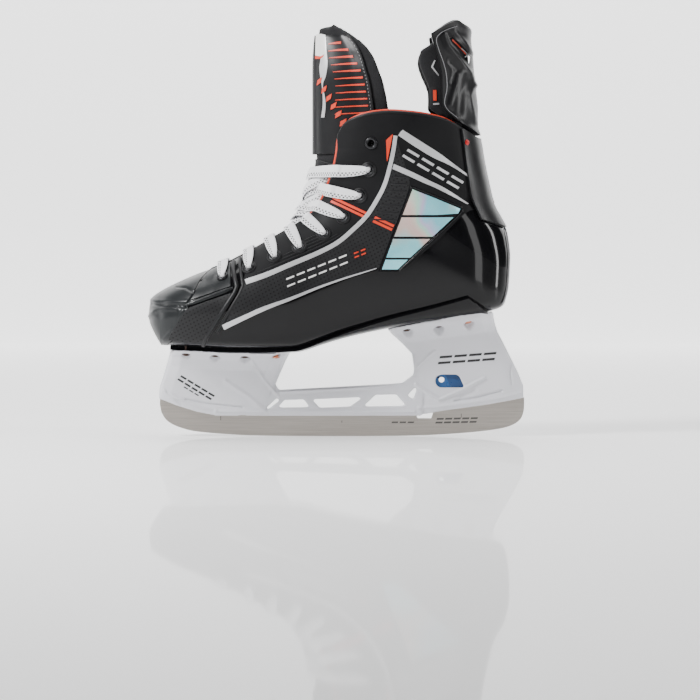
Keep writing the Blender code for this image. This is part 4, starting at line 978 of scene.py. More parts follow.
def toe_cap():
    """The moulded toe cap, one closed bowl with its seams and bumper in relief."""
    shares = np.concatenate([np.linspace(0.004, 0.25, 26)[:-1], np.linspace(0.25, 1, 62)])
    t = np.linspace(0, 1, 116)
    seam = np.array([TOE_SEAM(float(v)) - 0.35 for v in t])
    s = np.maximum((TOE_X + shares[:, None] * (seam[None, :] - TOE_X) - TOE_X) / (HINGE_X - TOE_X), 0.004)
    grids = {}
    for side in SIDES:
        base = BOOT.at(s, t, side)
        normal = BOOT.normal(s, t, side)
        flat = base[..., [0, 2]].reshape(-1, 2)
        relief = toe_relief(flat).reshape(base.shape[:2])
        relief *= np.clip((TOE_X + TOE_CAP_LENGTH - base[..., 0]) / 2.0, 0, 1)
        grids[side] = (base + normal * relief[..., None], base - normal * TOE_WALL)
    outer, inner = (np.concatenate([grids[LATERAL][k], grids[MEDIAL][k][:, -2:0:-1]],
                                   axis=1) for k in (0, 1))
    toe = slabs("toe_cap_shell", [(outer, inner)], "toe", loop=True, cap=True)
    round_edges(toe, 0.4, 2, 60)
    settle(toe, "boot", "toe_plastic", "toe_cap")


def toe_panels():
    """What covers the vamp behind the toe cap: the top plate, perforated side panels and ridges."""
    top = patch("toe_top_plate", [(-102.0, 130.5), (-97.5, 133.6), (-91.0, 136.2), (-84.0, 138.6)],
                [(-114.5, 109.4), (-104.0, 112.6), (-94.0, 116.2), (-82.6, 120.2)], "toe", 0.0, 0.9, 40, 30,
                0.25, slot="toe_plastic")
    cut(top, HOLES)
    patch("toe_side_panel", [(-117.0, 103.0), (-100.0, 109.2), (-81.6, 115.4)],
          [(-133.0, 78.6), (-120.0, 76.6), (-104.0, 76.0)], "perforated", 0.0, 0.7, 40, 30, 0.2,
          slot="toe_plastic")
    rib("toe_side_ridge",
        [(-118.0, 105.8), (-108.0, 109.2), (-98.0, 112.8), (-89.5, 115.9), (-81.0, 119.2)], "toe", 3.6, 2.6,
        0.2, slot="toe_plastic", taper=0.5)
    rib("vamp_ridge_front", [(-81.5, 139.5), (-81.0, 132.0), (-77.9, 120.3), (-79.7, 115.4), (-91.9, 96.4),
                             (-101.7, 81.1), (-105.0, 73.6)], "rubber", 3.6, 2.8, 0.2, 90, smoothed=False)
    rib("vamp_ridge_rear",
        [(-76.3, 142.2), (-75.4, 134.0), (-73.0, 120.9), (-75.4, 115.0), (-86.4, 96.4), (-93.8, 84.4)],
        "rubber", 2.8, 2.6, 0.3, 90, smoothed=False)


def liners():
    """The padded knit lining of each side, quilted into soft rows."""
    for side in SIDES:
        s = np.minimum(shell_rows(64, 0.985)[0][6:], 2.975)
        t = np.broadcast_to(np.linspace(0.02, 0.97, 64), s.shape)
        face = BOOT.at(s, t, side, -LINER_FACE, from_edge=True)
        quilt = 0.35 * np.sin(s * 60.0) ** 2
        inner = BOOT.at(s, t, side, -LINER_FACE - LINER_WALL + 0.4 - quilt, from_edge=True)
        liner = slabs("lining_" + SIDE_NAMES[side], [(face, inner)], "lining")
        cut(liner, HOLES)
        round_edges(liner, 0.9, 3, 60)
        settle(liner, "boot", "liner_fabric", "liner_" + SIDE_NAMES[side])


def underfoot():
    """The outsole and, inside the boot, the board and the footbed."""
    t = np.linspace(0.80, 1.0, 26)
    s = np.broadcast_to(np.linspace(s_of_x(-132.0), 1.615, 150)[:, None], (150, len(t)))
    pairs = [tuple(both_sides(lambda side, up=up: BOOT.at(s, t, side, up)) for up in (3.35, 0.1))]
    settle(slabs("outsole_plate", pairs, "gloss", 0.3), "boot", "gloss_shell", "outsole")
    s = np.broadcast_to(np.linspace(0.36, 1.555, 110)[:, None], (110, len(t)))
    pairs = [tuple(both_sides(lambda side, up=up: BOOT.at(s, t, side, up)) for up in (-3.8, -5.8))]
    settle(slabs("insole_layer", pairs, "board", 0.3), "boot", "board", "insole_board")
    s = np.broadcast_to(np.linspace(0.385, 1.55, 110)[:, None], (110, len(t)))
    pairs = [tuple(both_sides(lambda side, up=up: BOOT.at(s, t, side, up)) for up in (-6.7, -10.4))]
    bed = slabs("footbed_pad", pairs, "footbed")
    swollen(bed, 2.4, 0.5)
    settle(bed, "boot", "footbed_foam", "footbed")


# ---------------------------------------------------------------- the quarter and its graphics

def limit_on(line, s):
    """t, from the lace edge, where section s crosses a side-view line."""
    if s <= 2:
        (ox, oz), direction = ray(s)
        r = hit((ox, oz), direction, np.array(line, float))
        if r is None:
            return 1.0
        crown, outer = reach_of(round(s, 4))
        share = (r - crown) / (outer - crown)
    else:
        share = 1.0
    i = min(int(s / S_COLLAR * (len(BOOT.s) - 1)), len(BOOT.s) - 2)
    t = float(np.interp(share, BOOT.share[i], BOOT.t))
    return (t - BOOT.edge[i]) / (1 - BOOT.edge[i])


def quarter():
    """The matte quarter skin from the vamp ridges to the heel, over the gloss shell."""
    rows, columns = 150, 60
    front = [BOOT.find(x, z) for x, z in curve(QUARTER_FRONT, columns, False)]
    starts = np.array([p[0] for p in front])
    v = np.linspace(0, 1, columns)
    shares = np.linspace(0, 1, rows)
    s = starts[None, :] + (2.985 - starts[None, :]) * shares[:, None]
    limits = np.minimum([limit_on(QUARTER_LOW, float(row[-1])) for row in s], 0.93)
    t = v[None, :] * limits[:, None]
    pairs = [tuple(BOOT.at(s, t, side, up, from_edge=True) for up in (SKIN_WALL, 0.02)) for side in SIDES]
    skin = slabs("quarter_skin", pairs, "matte")
    cut(skin, HOLES)
    round_edges(skin, 0.3, 2, 50)
    settle(skin, "boot", "gloss_shell")


def band_between(name, line, widths, finish, lift, wall=0.35, count=80, smoothed=True, **options):
    """A stripe of varying width along a side-view line."""
    path = curve(line, count, smoothed)
    along = np.gradient(path, axis=0)
    along /= np.linalg.norm(along, axis=1, keepdims=True)
    across = np.stack([-along[:, 1], along[:, 0]], axis=1)
    width = np.interp(np.linspace(0, 1, count), np.linspace(0, 1, len(widths)), widths)[:, None] / 2
    return patch(name, path + across * width, path - across * width, finish, lift, wall, count, 4, 0.1,
                 False, **options)


def graphics():
    """The silver, orange and iridescent trim of each side."""
    film = SKIN_WALL + 0.28
    patch("quarter_panel", MAIN_CURVE,
          LOW_LINE + [(34.4, 137.5), (44.0, 162.0), (55.0, 190.5), (58.0, 204.0)], "perforated",
          SKIN_WALL - 0.1, 0.35, 90, 40, 0.15)
    band_between("silver_curve", MAIN_CURVE, [4.0, 3.7, 3.5, 3.4, 3.3, 3.2, 3.1], "silver", film)
    band_between("silver_low_line", LOW_LINE, [4.2, 3.4, 2.6, 1.9, 1.3, 0.6], "silver", film)
    patch("silver_wedge_upper",
          [(52.0, 243.2), (68.4, 232.8), (80.2, 225.2), (91.9, 216.6), (112.4, 201.3)],
          [(48.6, 238.9), (62.6, 229.4), (75.6, 221.6), (91.0, 214.2), (111.9, 200.6)], "silver", film,
          0.35, 60, 4)
    patch("silver_wedge_lower",
          [(45.2, 216.6), (60.2, 210.0), (74.3, 202.9), (86.0, 197.0), (103.6, 185.3)],
          [(44.1, 212.7), (56.7, 207.2), (68.4, 201.8), (80.2, 196.6), (102.8, 184.6)], "silver", film,
          0.35, 60, 4)
    patch("orange_wedge", [(39.1, 235.2), (44.4, 239.9)], [(39.7, 219.0), (40.1, 218.6)], "orange", film,
          0.3, 12, 24)
    slope = -21.9 / 47.0
    for n, (start, end) in enumerate((((-2.4, 190.2), (26.0, 176.8)), ((30.5, 174.6), (45.4, 167.7)))):
        for k, drop in enumerate((0.0, 2.9)):
            line = [(start[0] + drop * slope, start[1] - drop), (end[0] + drop * slope, end[1] - drop)]
            band_between(f"orange_stripe_{n + 1}_{k + 1}", line, [2.1, 2.1], "orange", film, 0.3, 24, False)
    for n in range(7):
        z = 206.5 - 5.6 * n
        left = float(np.interp(z, [p[1] for p in MAIN_CURVE], [p[0] for p in MAIN_CURVE])) + 4.6
        right = float(np.interp(z, [133.7, 196.7], [35.8, 60.0])) - 3.6
        rib(f"ankle_rib_{n + 1}", [(left, z), (right, z - 0.4)], "rubber", 1.7, 0.9, film, 16, taper=0.6,
            smoothed=False)
    for n in range(6):
        start = -62.0 + 9.0 * n
        line = resample(spline([(x, z + 4.6 + 2.5 * n) for x, z in MAIN_CURVE[:6]]), 60)
        line = [p for p in line if start <= p[0] <= 6.0 - 4.0 * n]
        if len(line) > 4:
            rib(f"eyestay_rib_{n + 1}", line, "rubber", 1.0, 1.0, SKIN_WALL, 50, taper=0.7, smoothed=False)


def ankle_panel():
    """The iridescent panel, cut into four by black bars, in its sunk gloss frame."""
    def edge(line, z):
        return float(np.interp(z, [line[0][1], line[1][1]], [line[0][0], line[1][0]]))
    levels = [133.7, 141.4, 143.0, 157.6, 159.5, 174.6, 176.5]
    for n in range(3):
        low, high = levels[2 * n], levels[2 * n + 1]
        patch(f"ankle_panel_{4 - n}", [(edge(PANEL_LEFT, high), high), (edge(PANEL_RIGHT, high), high)],
              [(edge(PANEL_LEFT, low), low), (edge(PANEL_RIGHT, low), low)], "foil", SKIN_WALL - 0.2, 0.5,
              40, 16, 0.15, False)
    low = levels[6]
    patch("ankle_panel_1", [(60.0, 196.7), (78.5, 189.2), (97.4, 181.2)],
          [(edge(PANEL_LEFT, low), low), (78.0, low), (95.6, low + 1.0)], "foil", SKIN_WALL - 0.2, 0.5, 40,
          16, 0.15, False)
    frame_line = [(34.0, 132.0), (48.8, 132.0), (73.6, 155.0), (99.4, 179.6), (98.6, 182.6), (79.0, 191.0),
                  (59.4, 199.0), (34.0, 132.0)]
    rib("ankle_panel_frame", frame_line, "gloss", 1.5, 1.1, SKIN_WALL, 150, smoothed=False)


def plain_bars(name, line, count, finish, size, gap, lean=0.0, pair=0.0, **options):
    """Generic bars in a row along a side-view line, in place of printed words."""
    start, end = np.array(line[0], float), np.array(line[1], float)
    along = (end - start) / np.linalg.norm(end - start)
    up = np.array([-along[1], along[0]])
    length, height = size
    for n in range(count):
        origin = start + along * (n * (length + gap))
        for k in ((0,) if not pair else (0, 1)):
            base = origin + up * (k * pair) + along * (lean * k * pair)
            top = [base + up * height + along * lean * height,
                   base + up * height + along * (length + lean * height)]
            patch(f"{name}_{n + 1}{'ab'[k] if pair else ''}", top, [base, base + along * length], finish,
                  columns=10, rows=3, bevel=0.06, smoothed=False, **options)


def trim_marks():
    """Plain bars where the skate carries printed words."""
    film = SKIN_WALL + 0.25
    plain_bars("ankle_bar", ((51.6, 222.4), (98.6, 194.6)), 4, "silver", (10.4, 2.0), 3.0, 0.15, 5.6,
               lift=film, wall=0.3)
    plain_bars("side_bar", ((-38.4, 119.6), (12.0, 139.9)), 6, "white_film", (6.6, 1.2), 2.3, 0.25, 5.4,
               lift=film, wall=0.25)
    plain_bars("model_bar", ((14.4, 142.4), (26.0, 147.0)), 2, "orange", (3.8, 1.0), 2.0, 0.25, 3.0,
               lift=film, wall=0.25)


def edges():
    """The rolled binding round the boot's opening, the orange piping in it, and the back seam's piping."""
    paths = []
    for side in SIDES:
        s = np.linspace(0.60, 2.96, 150)
        rim = BOOT.at(s, 0.0, side, -0.9, from_edge=True)
        out = BOOT.normal(s, 0.0, side, from_edge=True)
        t = np.linspace(0.01, 0.97, 70)
        top = BOOT.at(3.0, t, side, -1.2, from_edge=True) + np.array([0, 0, 0.2])
        up = np.broadcast_to([0.0, 0.0, 1.0], top.shape)
        centres = np.concatenate([rim, top])
        normals = np.concatenate([out, up])
        paths.append((centres, normals, 3.4, 3.4))
    settle(bands("edge_binding", paths, "rubber"), "boot", "gloss_shell")
    for side in SIDES:
        s = np.linspace(1.36, 2.94, 90)
        front = BOOT.at(s, 0.0, side, -1.7, from_edge=True)
        inward = BOOT.at(s, 0.02, side, -1.7, from_edge=True) - front
        front = front - inward / np.linalg.norm(inward, axis=1, keepdims=True) * 2.9
        t = np.linspace(0.03, 0.74, 60)
        top = BOOT.at(3.0, t, side, -3.2, from_edge=True) + np.array([0, 0, 1.9])
        centres = np.concatenate([front, top])
        normals = np.concatenate([BOOT.normal(s, 0.0, side, True), BOOT.normal(3.0 + 0 * t, t, side, True)])
        smoothed = resample(centres, 160)
        for _ in range(6):
            smoothed[1:-1] = (smoothed[:-2] + smoothed[1:-1] * 2 + smoothed[2:]) / 4
        normals = resample(normals, 160)
        piping = bands("orange_piping_" + SIDE_NAMES[side], [(smoothed, normals, 2.4, 2.4)], "orange")
        settle(piping, "boot", "piping", "collar_piping_" + SIDE_NAMES[side])
    upper = [(112.0, 236.5), (115.0, 228.0), (118.4, 211.0), (121.6, 196.0), (123.6, 185.0)]
    lower = [(126.2, 184.0), (133.2, 168.0), (136.4, 150.0), (136.6, 138.0), (135.2, 118.0), (131.6, 106.0)]
    rib("back_seam_piping_upper", upper, "silver", 1.2, 1.2, 3.0, 80)
    rib("back_seam_piping", lower, "silver", 1.5, 1.5, 0.9, 120)


# ---------------------------------------------------------------- eyelets and rivets

HOLDER_TOP, FLANGE_WALL = 3.625, 2.4  # from the boot's surface to the flanges, and their thickness
RIVET_SPOTS = [(x, 21.0) for x in (-119.0, -96.0, -72.4, -47.5)] + [(x, 15.0) for x in (55.4, 80.0, 104.0)]
GUARD_RIVET = (101.0, 233.5)


def eyelets():
    """A pressed ring in each lace hole, and the raised moulding round it."""
    ring = [(2.5, 1.2), (2.7, 1.9), (3.3, 2.3), (4.0, 2.25), (4.6, 1.9), (4.75, 1.3), (4.5, 0.95),
            (3.2, 0.95), (3.2, -8.1), (2.5, -8.1)]
    collar = [(4.5, 0.3), (4.7, 1.5), (5.3, 1.85), (5.9, 1.5), (6.1, 0.3)]
    for side in SIDES:
        for i in range(len(EYELETS)):
            centre, axis = eyelet_place(i, side)
            name = f"eyelet_{SIDE_NAMES[side]}_{i + 1}"
            settle(turned(name + "_ring", ring, centre, axis, "gunmetal"), "boot", "eyelet_metal", name)
            if 0 < i < 8:
                settle(turned(name + "_moulding", collar, centre, axis, "rubber"), "boot", "gloss_shell")


def underside_place(x, y, side):
    """(point, normal) on the boot's underside under a rivet."""
    s, t = np.meshgrid(np.linspace(0.2, 1.72, 400), np.linspace(0.78, 0.995, 120), indexing="ij")
    points = BOOT.at(s, t, side)
    miss = (points[..., 0] - x) ** 2 + (points[..., 1] - side * y) ** 2
    best = np.unravel_index(np.argmin(miss), miss.shape)
    return Vector(points[best]), Vector(BOOT.normal(s[best], t[best], side))


def rivets():
    """Copper rivets under the flanges and one red rivet a side through the guard's base."""
    head = HOLDER_TOP + FLANGE_WALL + 0.35
    dome = [(0.0, head + 1.45), (1.3, head + 1.35), (2.4, head + 1.0), (3.1, head + 0.4), (3.2, head),
            (1.5, head), (1.5, -2.7), (0.0, -2.7)]
    number = 0
    for x, y in RIVET_SPOTS:
        for side in SIDES:
            number += 1
            centre, axis = underside_place(x, y, side)
            finish = "copper" if x in (-47.5, 104.0) else "rivet"
            rivet = turned(f"rivet_{number}", dome, centre, axis, finish)
            settle(rivet, "boot", "copper", f"holder_rivet_{number}")
    button = [(0.0, 4.35), (1.0, 4.2), (1.9, 3.8), (2.2, 3.3), (1.4, 3.3), (1.4, -2.5), (0.0, -2.5)]
    for side in SIDES:
        point, normal = BOOT.place(*GUARD_RIVET, side)
        rivet = turned("red_rivet_" + SIDE_NAMES[side], button, Vector(point), Vector(normal), "red_metal")
        settle(rivet, "boot", "guard_rivet", "guard_rivet_" + SIDE_NAMES[side])


# ---------------------------------------------------------------- the tongue

LACE_RADIUS = 1.3
LACE_DEPTH = LINER_FACE + LINER_WALL + 0.5 + LACE_RADIUS
TONGUE_DEPTH = LACE_DEPTH + LACE_RADIUS + 0.6
TONGUE_WALL = 7.0
TONGUE_LINE = spline([
    (-101.0, 128.0), (-92.0, 131.0), (-75.0, 138.5), (-58.0, 148.0), (-44.0, 157.5), (-34.0, 168.0),
    (-26.5, 182.0), (-21.0, 198.0), (-18.2, 212.0), (-17.2, 224.0), (-17.2, 240.0),
])
TONGUE_START, TONGUE_SPLIT_Z, TONGUE_TOP_Z, TONGUE_SPLIT_S = 0.62, 222.0, 326.5, 1.8803
TONGUE_REACH = smooth([(0.6, 0.20), (0.9, 0.24), (1.3, 0.26), (1.7, 0.30), (2.0, 0.34)])
TONGUE_BACK = smooth([(222.0, 43.0), (257.0, 41.5), (273.0, 39.0), (283.0, 36.8), (292.0, 33.5),
                      (301.0, 30.0), (309.3, 24.5), (315.5, 18.2), (321.0, 11.0), (324.0, 5.0),
                      (326.0, -3.0), (327.0, -9.0)])
TONGUE_WIDTH = smooth([(222.0, 0.94), (245.0, 0.92), (285.0, 0.88), (305.0, 0.74), (318.0, 0.52),
                       (326.5, 0.26)])


def tongue_point(s, k, side, above=0.0):
    """A point of the lower tongue's outer face: k runs from its middle to its side edge."""
    i = int(round(s / S_COLLAR * (len(BOOT.s) - 1)))
    t = TONGUE_REACH(s) * k
    (ox, oz), direction = ray(s)
    middle = hit((ox, oz), direction, TONGUE_LINE) - reach_of(round(s, 4))[0]
    share = min(t / (lace_gap_of(s) * 1.15 / BOOT.length[i]), 1.0)
    ease = share * share * (3 - 2 * share)
    depth = middle + (TONGUE_DEPTH - middle) * ease
    return BOOT.at(s, t, side, above - depth)


def over_tongue(s, y_share, side, lift):
    """(point, normal) over the lower tongue, y_share of the way from its middle to the lace gap's edge."""
    i = int(round(s / S_COLLAR * (len(BOOT.s) - 1)))
    k = lace_gap_of(s) / BOOT.length[i] / TONGUE_REACH(s) * y_share
    return tongue_point(s, k, side, lift), BOOT.normal(s, TONGUE_REACH(s) * k, side)


@functools.lru_cache(maxsize=None)
def plan_point(k, side, above):
    return tongue_point(2.0, k, side, above)


def upper_tongue_point(z, k, side, above=0.0):
    """A point of the tongue's outer face over the split: its plan shape, scaled as it rises."""
    base, front, back = (plan_point(v, side, above) for v in (k, 0.0, 1.0))
    depth = (TONGUE_BACK(z) - front[0]) / (back[0] - front[0])
    lean = 2.6 * max(0.0, (z - 290.0) / 36.0) ** 2
    return np.array([front[0] + lean + (base[0] - front[0]) * depth, base[1] * TONGUE_WIDTH(z), z])


def on_face(x, z, side, lift):
    """(point, normal) on the tongue's moulded face at (x, z) in the side view."""
    ks = [round(0.02 * n, 2) for n in range(51)]
    xs = [upper_tongue_point(z, k, side, 2.5)[0] for k in ks]
    k = float(np.interp(x, xs, ks))
    points = [upper_tongue_point(zz, round(kk, 3), side, 2.5) for zz, kk in
              ((z, k), (z, k + 0.03), (z, k - 0.03), (z + 1.0, k), (z - 1.0, k))]
    normal = np.cross(points[1] - points[2], points[3] - points[4]) * side
    normal *= 1 if normal[1] * side > 0 or normal[0] < 0 else -1
    normal /= np.linalg.norm(normal)
    return points[0] + normal * lift, normal


def two_sided(function, ks, levels):
    """Rows at each level, from one side edge over the middle to the other."""
    rows = []
    for level in levels:
        row = [function(float(level), round(float(k), 4), LATERAL) for k in ks[::-1]]
        row += [function(float(level), round(float(k), 4), MEDIAL) for k in ks[1:]]
        rows.append(row)
    return np.array(rows)


def inward(rows, wall):
    """The same grid moved against its normals, into the leg."""
    normals = np.cross(np.gradient(rows, axis=0), np.gradient(rows, axis=1))
    normals /= np.maximum(np.linalg.norm(normals, axis=2, keepdims=True), 1e-9)
    middle = normals[len(rows) // 2, rows.shape[1] // 2]
    return rows + normals * wall * (1 if middle[0] > 0 else -1)


def tongue():
    """The felt tongue in its two pieces, with the moulded face, its orange bars and its stitching."""
    levels = np.linspace(TONGUE_START, TONGUE_SPLIT_S, 90)
    ks = np.linspace(0, 1, 34)
    lower = two_sided(tongue_point, ks, levels)
    channels = 0.45 * np.abs(np.sin(np.linspace(-1, 1, lower.shape[1]) * 22.0))[None, :, None]
    lower = lower + (inward(lower, 1.0) - lower) * channels
    piece = slabs("tongue_throat", [(lower, inward(lower, TONGUE_WALL - 0.6))], "felt")
    round_edges(piece, 1.5, 3, 60)
    settle(piece, "boot", "felt", "tongue_lower")
    top_z = TONGUE_TOP_Z - 0.5

    def flap_point(v, k, side):
        """The flap's lower edge slants down along the top of the throat."""
        low = 216.6 - 0.19 * (upper_tongue_point(TONGUE_SPLIT_Z, k, side)[0] + 17.0)
        return upper_tongue_point(low + (top_z - low) * v, k, side, -0.5)

    upper = two_sided(flap_point, ks, np.linspace(0, 1, 64) ** 0.8)
    top = slabs("tongue_flap", [(upper, inward(upper, TONGUE_WALL - 1.0))], "felt")
    swollen(top, 1.9, 0.55)
    settle(top, "tongue_top", "felt", "tongue_upper")
    levels = TONGUE_SPLIT_Z + 3 + (TONGUE_TOP_Z - 10 - TONGUE_SPLIT_Z) * np.linspace(0, 1, 80) ** 0.8
    ks = np.linspace(0, 0.80, 40)
    face = two_sided(lambda z, k, side: upper_tongue_point(z, k, side, 2.5), ks, levels)
    under = two_sided(lambda z, k, side: upper_tongue_point(z, k, side, 1.2), ks, levels)
    piece = slabs("tongue_shield", [(face, under)], "face")
    round_edges(piece, 0.4, 3, 60)
    settle(piece, "tongue_top", "gloss_shell", "tongue_face")
    tongue_trim()


FACE_EDGE = [(-6.7, 319.0), (2.2, 315.6), (11.0, 307.5), (16.6, 299.0), (21.4, 289.6), (24.4, 278.0),
             (26.6, 265.0), (27.4, 252.0)]


def tongue_trim():
    """Orange bars, a plain label, the silver streak and the stitched edge of the tongue's face."""
    on_tongue = {"place": on_face, "body": "tongue_top"}
    edge_z, edge_x = [p[1] for p in FACE_EDGE[::-1]], [p[0] for p in FACE_EDGE[::-1]]
    starts = [-6.4, -6.4, -5.6, -4.0, -2.6, -1.4, -0.6, -0.4, -0.8, -1.2, -1.2]
    for n, start in enumerate(starts):
        z = 312.7 - 5.58 * n
        end = float(np.interp(z, edge_z, edge_x)) - 1.6
        wide = 2.1 - 0.09 * n
        band_between(f"tongue_bar_{n + 1}", [(start, z - 0.6), ((start + end) / 2, z), (end, z + 0.3)],
                     [0.5, wide * 0.75, wide], "orange", 0.05, 0.4, 26, **on_tongue)
    patch("tongue_label", [(-16.2, 320.2), (-12.5, 320.4), (-8.6, 319.6)],
          [(-16.6, 303.4), (-12.5, 302.6), (-8.6, 304.6)], "white_film", 0.05, 0.35, 16, 16, 0.1,
          **on_tongue)
    patch("tongue_label_edge", [(-16.6, 303.2), (-13.0, 302.4), (-9.6, 303.8)],
          [(-16.6, 300.8), (-13.0, 300.6), (-10.6, 301.8)], "orange", 0.05, 0.4, 16, 4, 0.1, **on_tongue)
    patch("tongue_streak", [(-8.4, 318.0), (-7.6, 306.0), (-6.8, 297.0), (-8.2, 287.0), (-10.6, 279.5),
                            (-8.4, 266.0), (-9.4, 254.0)],
          [(-10.0, 318.0), (-12.6, 299.0), (-13.4, 294.0), (-12.6, 286.0), (-11.4, 279.0), (-10.6, 266.0),
           (-12.0, 254.0)], "silver", 0.05, 0.3, 60, 6, 0.08, **on_tongue)
    for n in range(6):
        x, z = -14.6 + 3.6 * n, 281.0 - 6.6 * n
        patch(f"tongue_slash_{n + 1}", [(x, z + 2.6), (x + 3.4 + 0.3 * n, z + 5.0)],
              [(x - 0.6, z - 1.6), (x + 2.6 + 0.3 * n, z + 0.8)], "orange", 0.35, 0.35, 10, 6, 0.08, False,
              **on_tongue)
    paths = []
    for side in SIDES:
        points = [upper_tongue_point(float(z), 0.775, side, 2.6) for z in np.linspace(228.0, 319.0, 70)]
        for start in range(0, 68, 2):
            first, last = points[start:start + 2]
            out = np.array([[-0.5, side * 1.0, 0.0]] * 3)
            paths.append((np.array([first, first * 0.5 + last * 0.5, last]), out, 0.6, 0.5))
    settle(bands("tongue_stitching", paths, "thread", around=6), "tongue_top", "lace_white")
    for side in SIDES:
        edge = np.array([upper_tongue_point(float(z), 0.80, side,
                                            1.9) for z in np.linspace(226.0, 318.8, 70)])
        out = np.array([[0.2, side * 1.0, 0.1]] * len(edge))
        settle(bands("tongue_face_piping_" + SIDE_NAMES[side], [(edge, out, 1.5, 1.5)], "rubber"),
               "tongue_top", "gloss_shell")


# ---------------------------------------------------------------- the tendon guard

GUARD_WALL = 2.2
GUARD_BACK = smooth([(238.0, 114.4), (249.0, 112.8), (260.0, 113.0), (271.5, 112.0), (288.0, 110.0),
                     (301.0, 109.0), (316.0, 107.4), (323.5, 106.9), (331.0, 103.0)])
GUARD_FRONT = smooth([(240.0, 96.0), (249.0, 89.6), (259.3, 84.0), (271.5, 82.9), (284.0, 82.9),
                      (294.0, 81.4), (303.0, 78.9), (311.0, 76.5), (319.5, 74.6), (325.0, 79.0),
                      (331.0, 85.0)])
GUARD_HALF_WIDTH = smooth([(238.0, 33.0), (260.0, 33.5), (290.0, 34.5), (320.0, 35.5), (331.0, 35.5)])
GUARD_LOW = smooth([(0.0, 240.0), (0.3, 241.0), (0.55, 245.0), (0.8, 252.0), (1.0, 261.0)])
GUARD_HIGH = smooth([(0.0, 323.0), (0.35, 327.0), (0.6, 330.2), (0.8, 327.0), (1.0, 319.5)])
PAD_FRONT = smooth([(246.0, 73.5), (262.0, 73.0), (275.6, 72.4), (282.0, 70.2), (290.0, 67.1),
                    (299.0, 64.8), (305.0, 66.1), (311.0, 72.0), (316.0, 79.0)])
PAD_INSET = GUARD_WALL + 1.4
GUARD_WINDOW = [(88.8, 315.6), (91.8, 317.4), (106.8, 303.4), (106.0, 295.6), (101.6, 299.6), (95.0, 307.6)]


class Pipe:
    """A wall that wraps the back of the leg: k = 0 is its middle and k = 1 or -1 its front edges."""

    def __init__(self, front, inset):
        self.front, self.inset = front, inset

    def point(self, k, z):
        angle = min(abs(k), 1.0) * math.pi / 2
        depth = GUARD_BACK(z) - self.inset - self.front(z)
        y = (GUARD_HALF_WIDTH(z) - self.inset) * math.sin(angle) ** 0.9
        return np.array([self.front(z) + depth * math.cos(angle) ** 1.15, math.copysign(y, k), z])

    def normal(self, k, z):
        n = np.cross(self.point(k + 0.02, z) - self.point(k - 0.02, z),
                     self.point(k, z + 1) - self.point(k, z - 1))
        n /= max(np.linalg.norm(n), 1e-9)
        outward = np.array([math.cos(k * math.pi / 2), math.sin(k * math.pi / 2), 0.0])
        return n if n @ outward > 0 else -n

    def place(self, x, z, side, lift=0.0):
        share = (x - self.front(z)) / (GUARD_BACK(z) - self.inset - self.front(z))
        k = math.acos(min(max(share, 0.0), 1.0) ** (1 / 1.15)) / (math.pi / 2) * side
        n = self.normal(k, z)
        return self.point(k, z) + n * lift, n

    def grids(self, low, high, wall, k_count, z_count, relief=None):
        ks, vs = np.linspace(-1, 1, k_count), np.linspace(0, 1, z_count)
        outer, inner = np.zeros((z_count, k_count, 3)), np.zeros((z_count, k_count, 3))
        for j, k in enumerate(ks):
            bottom, top = low(abs(k)), high(abs(k))
            for i, v in enumerate(vs):
                z = bottom + (top - bottom) * float(v)
                p, n = self.point(k, z), self.normal(float(np.clip(k, -0.97, 0.97)), z)
                outer[i, j], inner[i, j] = p + n * (relief(p, k, v) if relief else 0.0), p - n * wall
        return outer, inner


GUARD, PAD = Pipe(GUARD_FRONT, 0.0), Pipe(PAD_FRONT, PAD_INSET)
GUARD_RIDGES = [
    ([(84.5, 318.5), (88.0, 309.3), (97.0, 299.0), (106.4, 289.0), (110.0, 279.7)], 2.0, 1.3),
    ([(92.5, 321.5), (102.5, 313.0), (108.0, 305.0)], 1.6, 0.8),
    ([(90.5, 297.0), (96.0, 291.0), (92.5, 281.0)], 2.8, -1.3),
    ([(96.0, 287.0), (93.0, 275.0), (89.6, 263.3)], 1.7, 0.9),
    ([(110.5, 279.7), (105.5, 271.5), (107.5, 262.0), (111.0, 249.0)], 1.9, 0.8),
    ([(103.0, 284.0), (99.0, 272.0), (98.0, 258.0)], 2.4, -0.5),
]


def guard_relief(point, k, v):
    """How far a point of the guard is raised by its ridges and its rim."""
    flat = np.array([[point[0], point[2]]])
    relief = sum(float(ridge(flat, line, width, height)[0]) for line, width, height in GUARD_RIDGES)
    rim = max(math.exp(-((1 - abs(k)) / 0.085) ** 2), math.exp(-((1 - v) / 0.06) ** 2),
              math.exp(-(v / 0.05) ** 2))
    return relief * (1 - rim) + 0.9 * rim


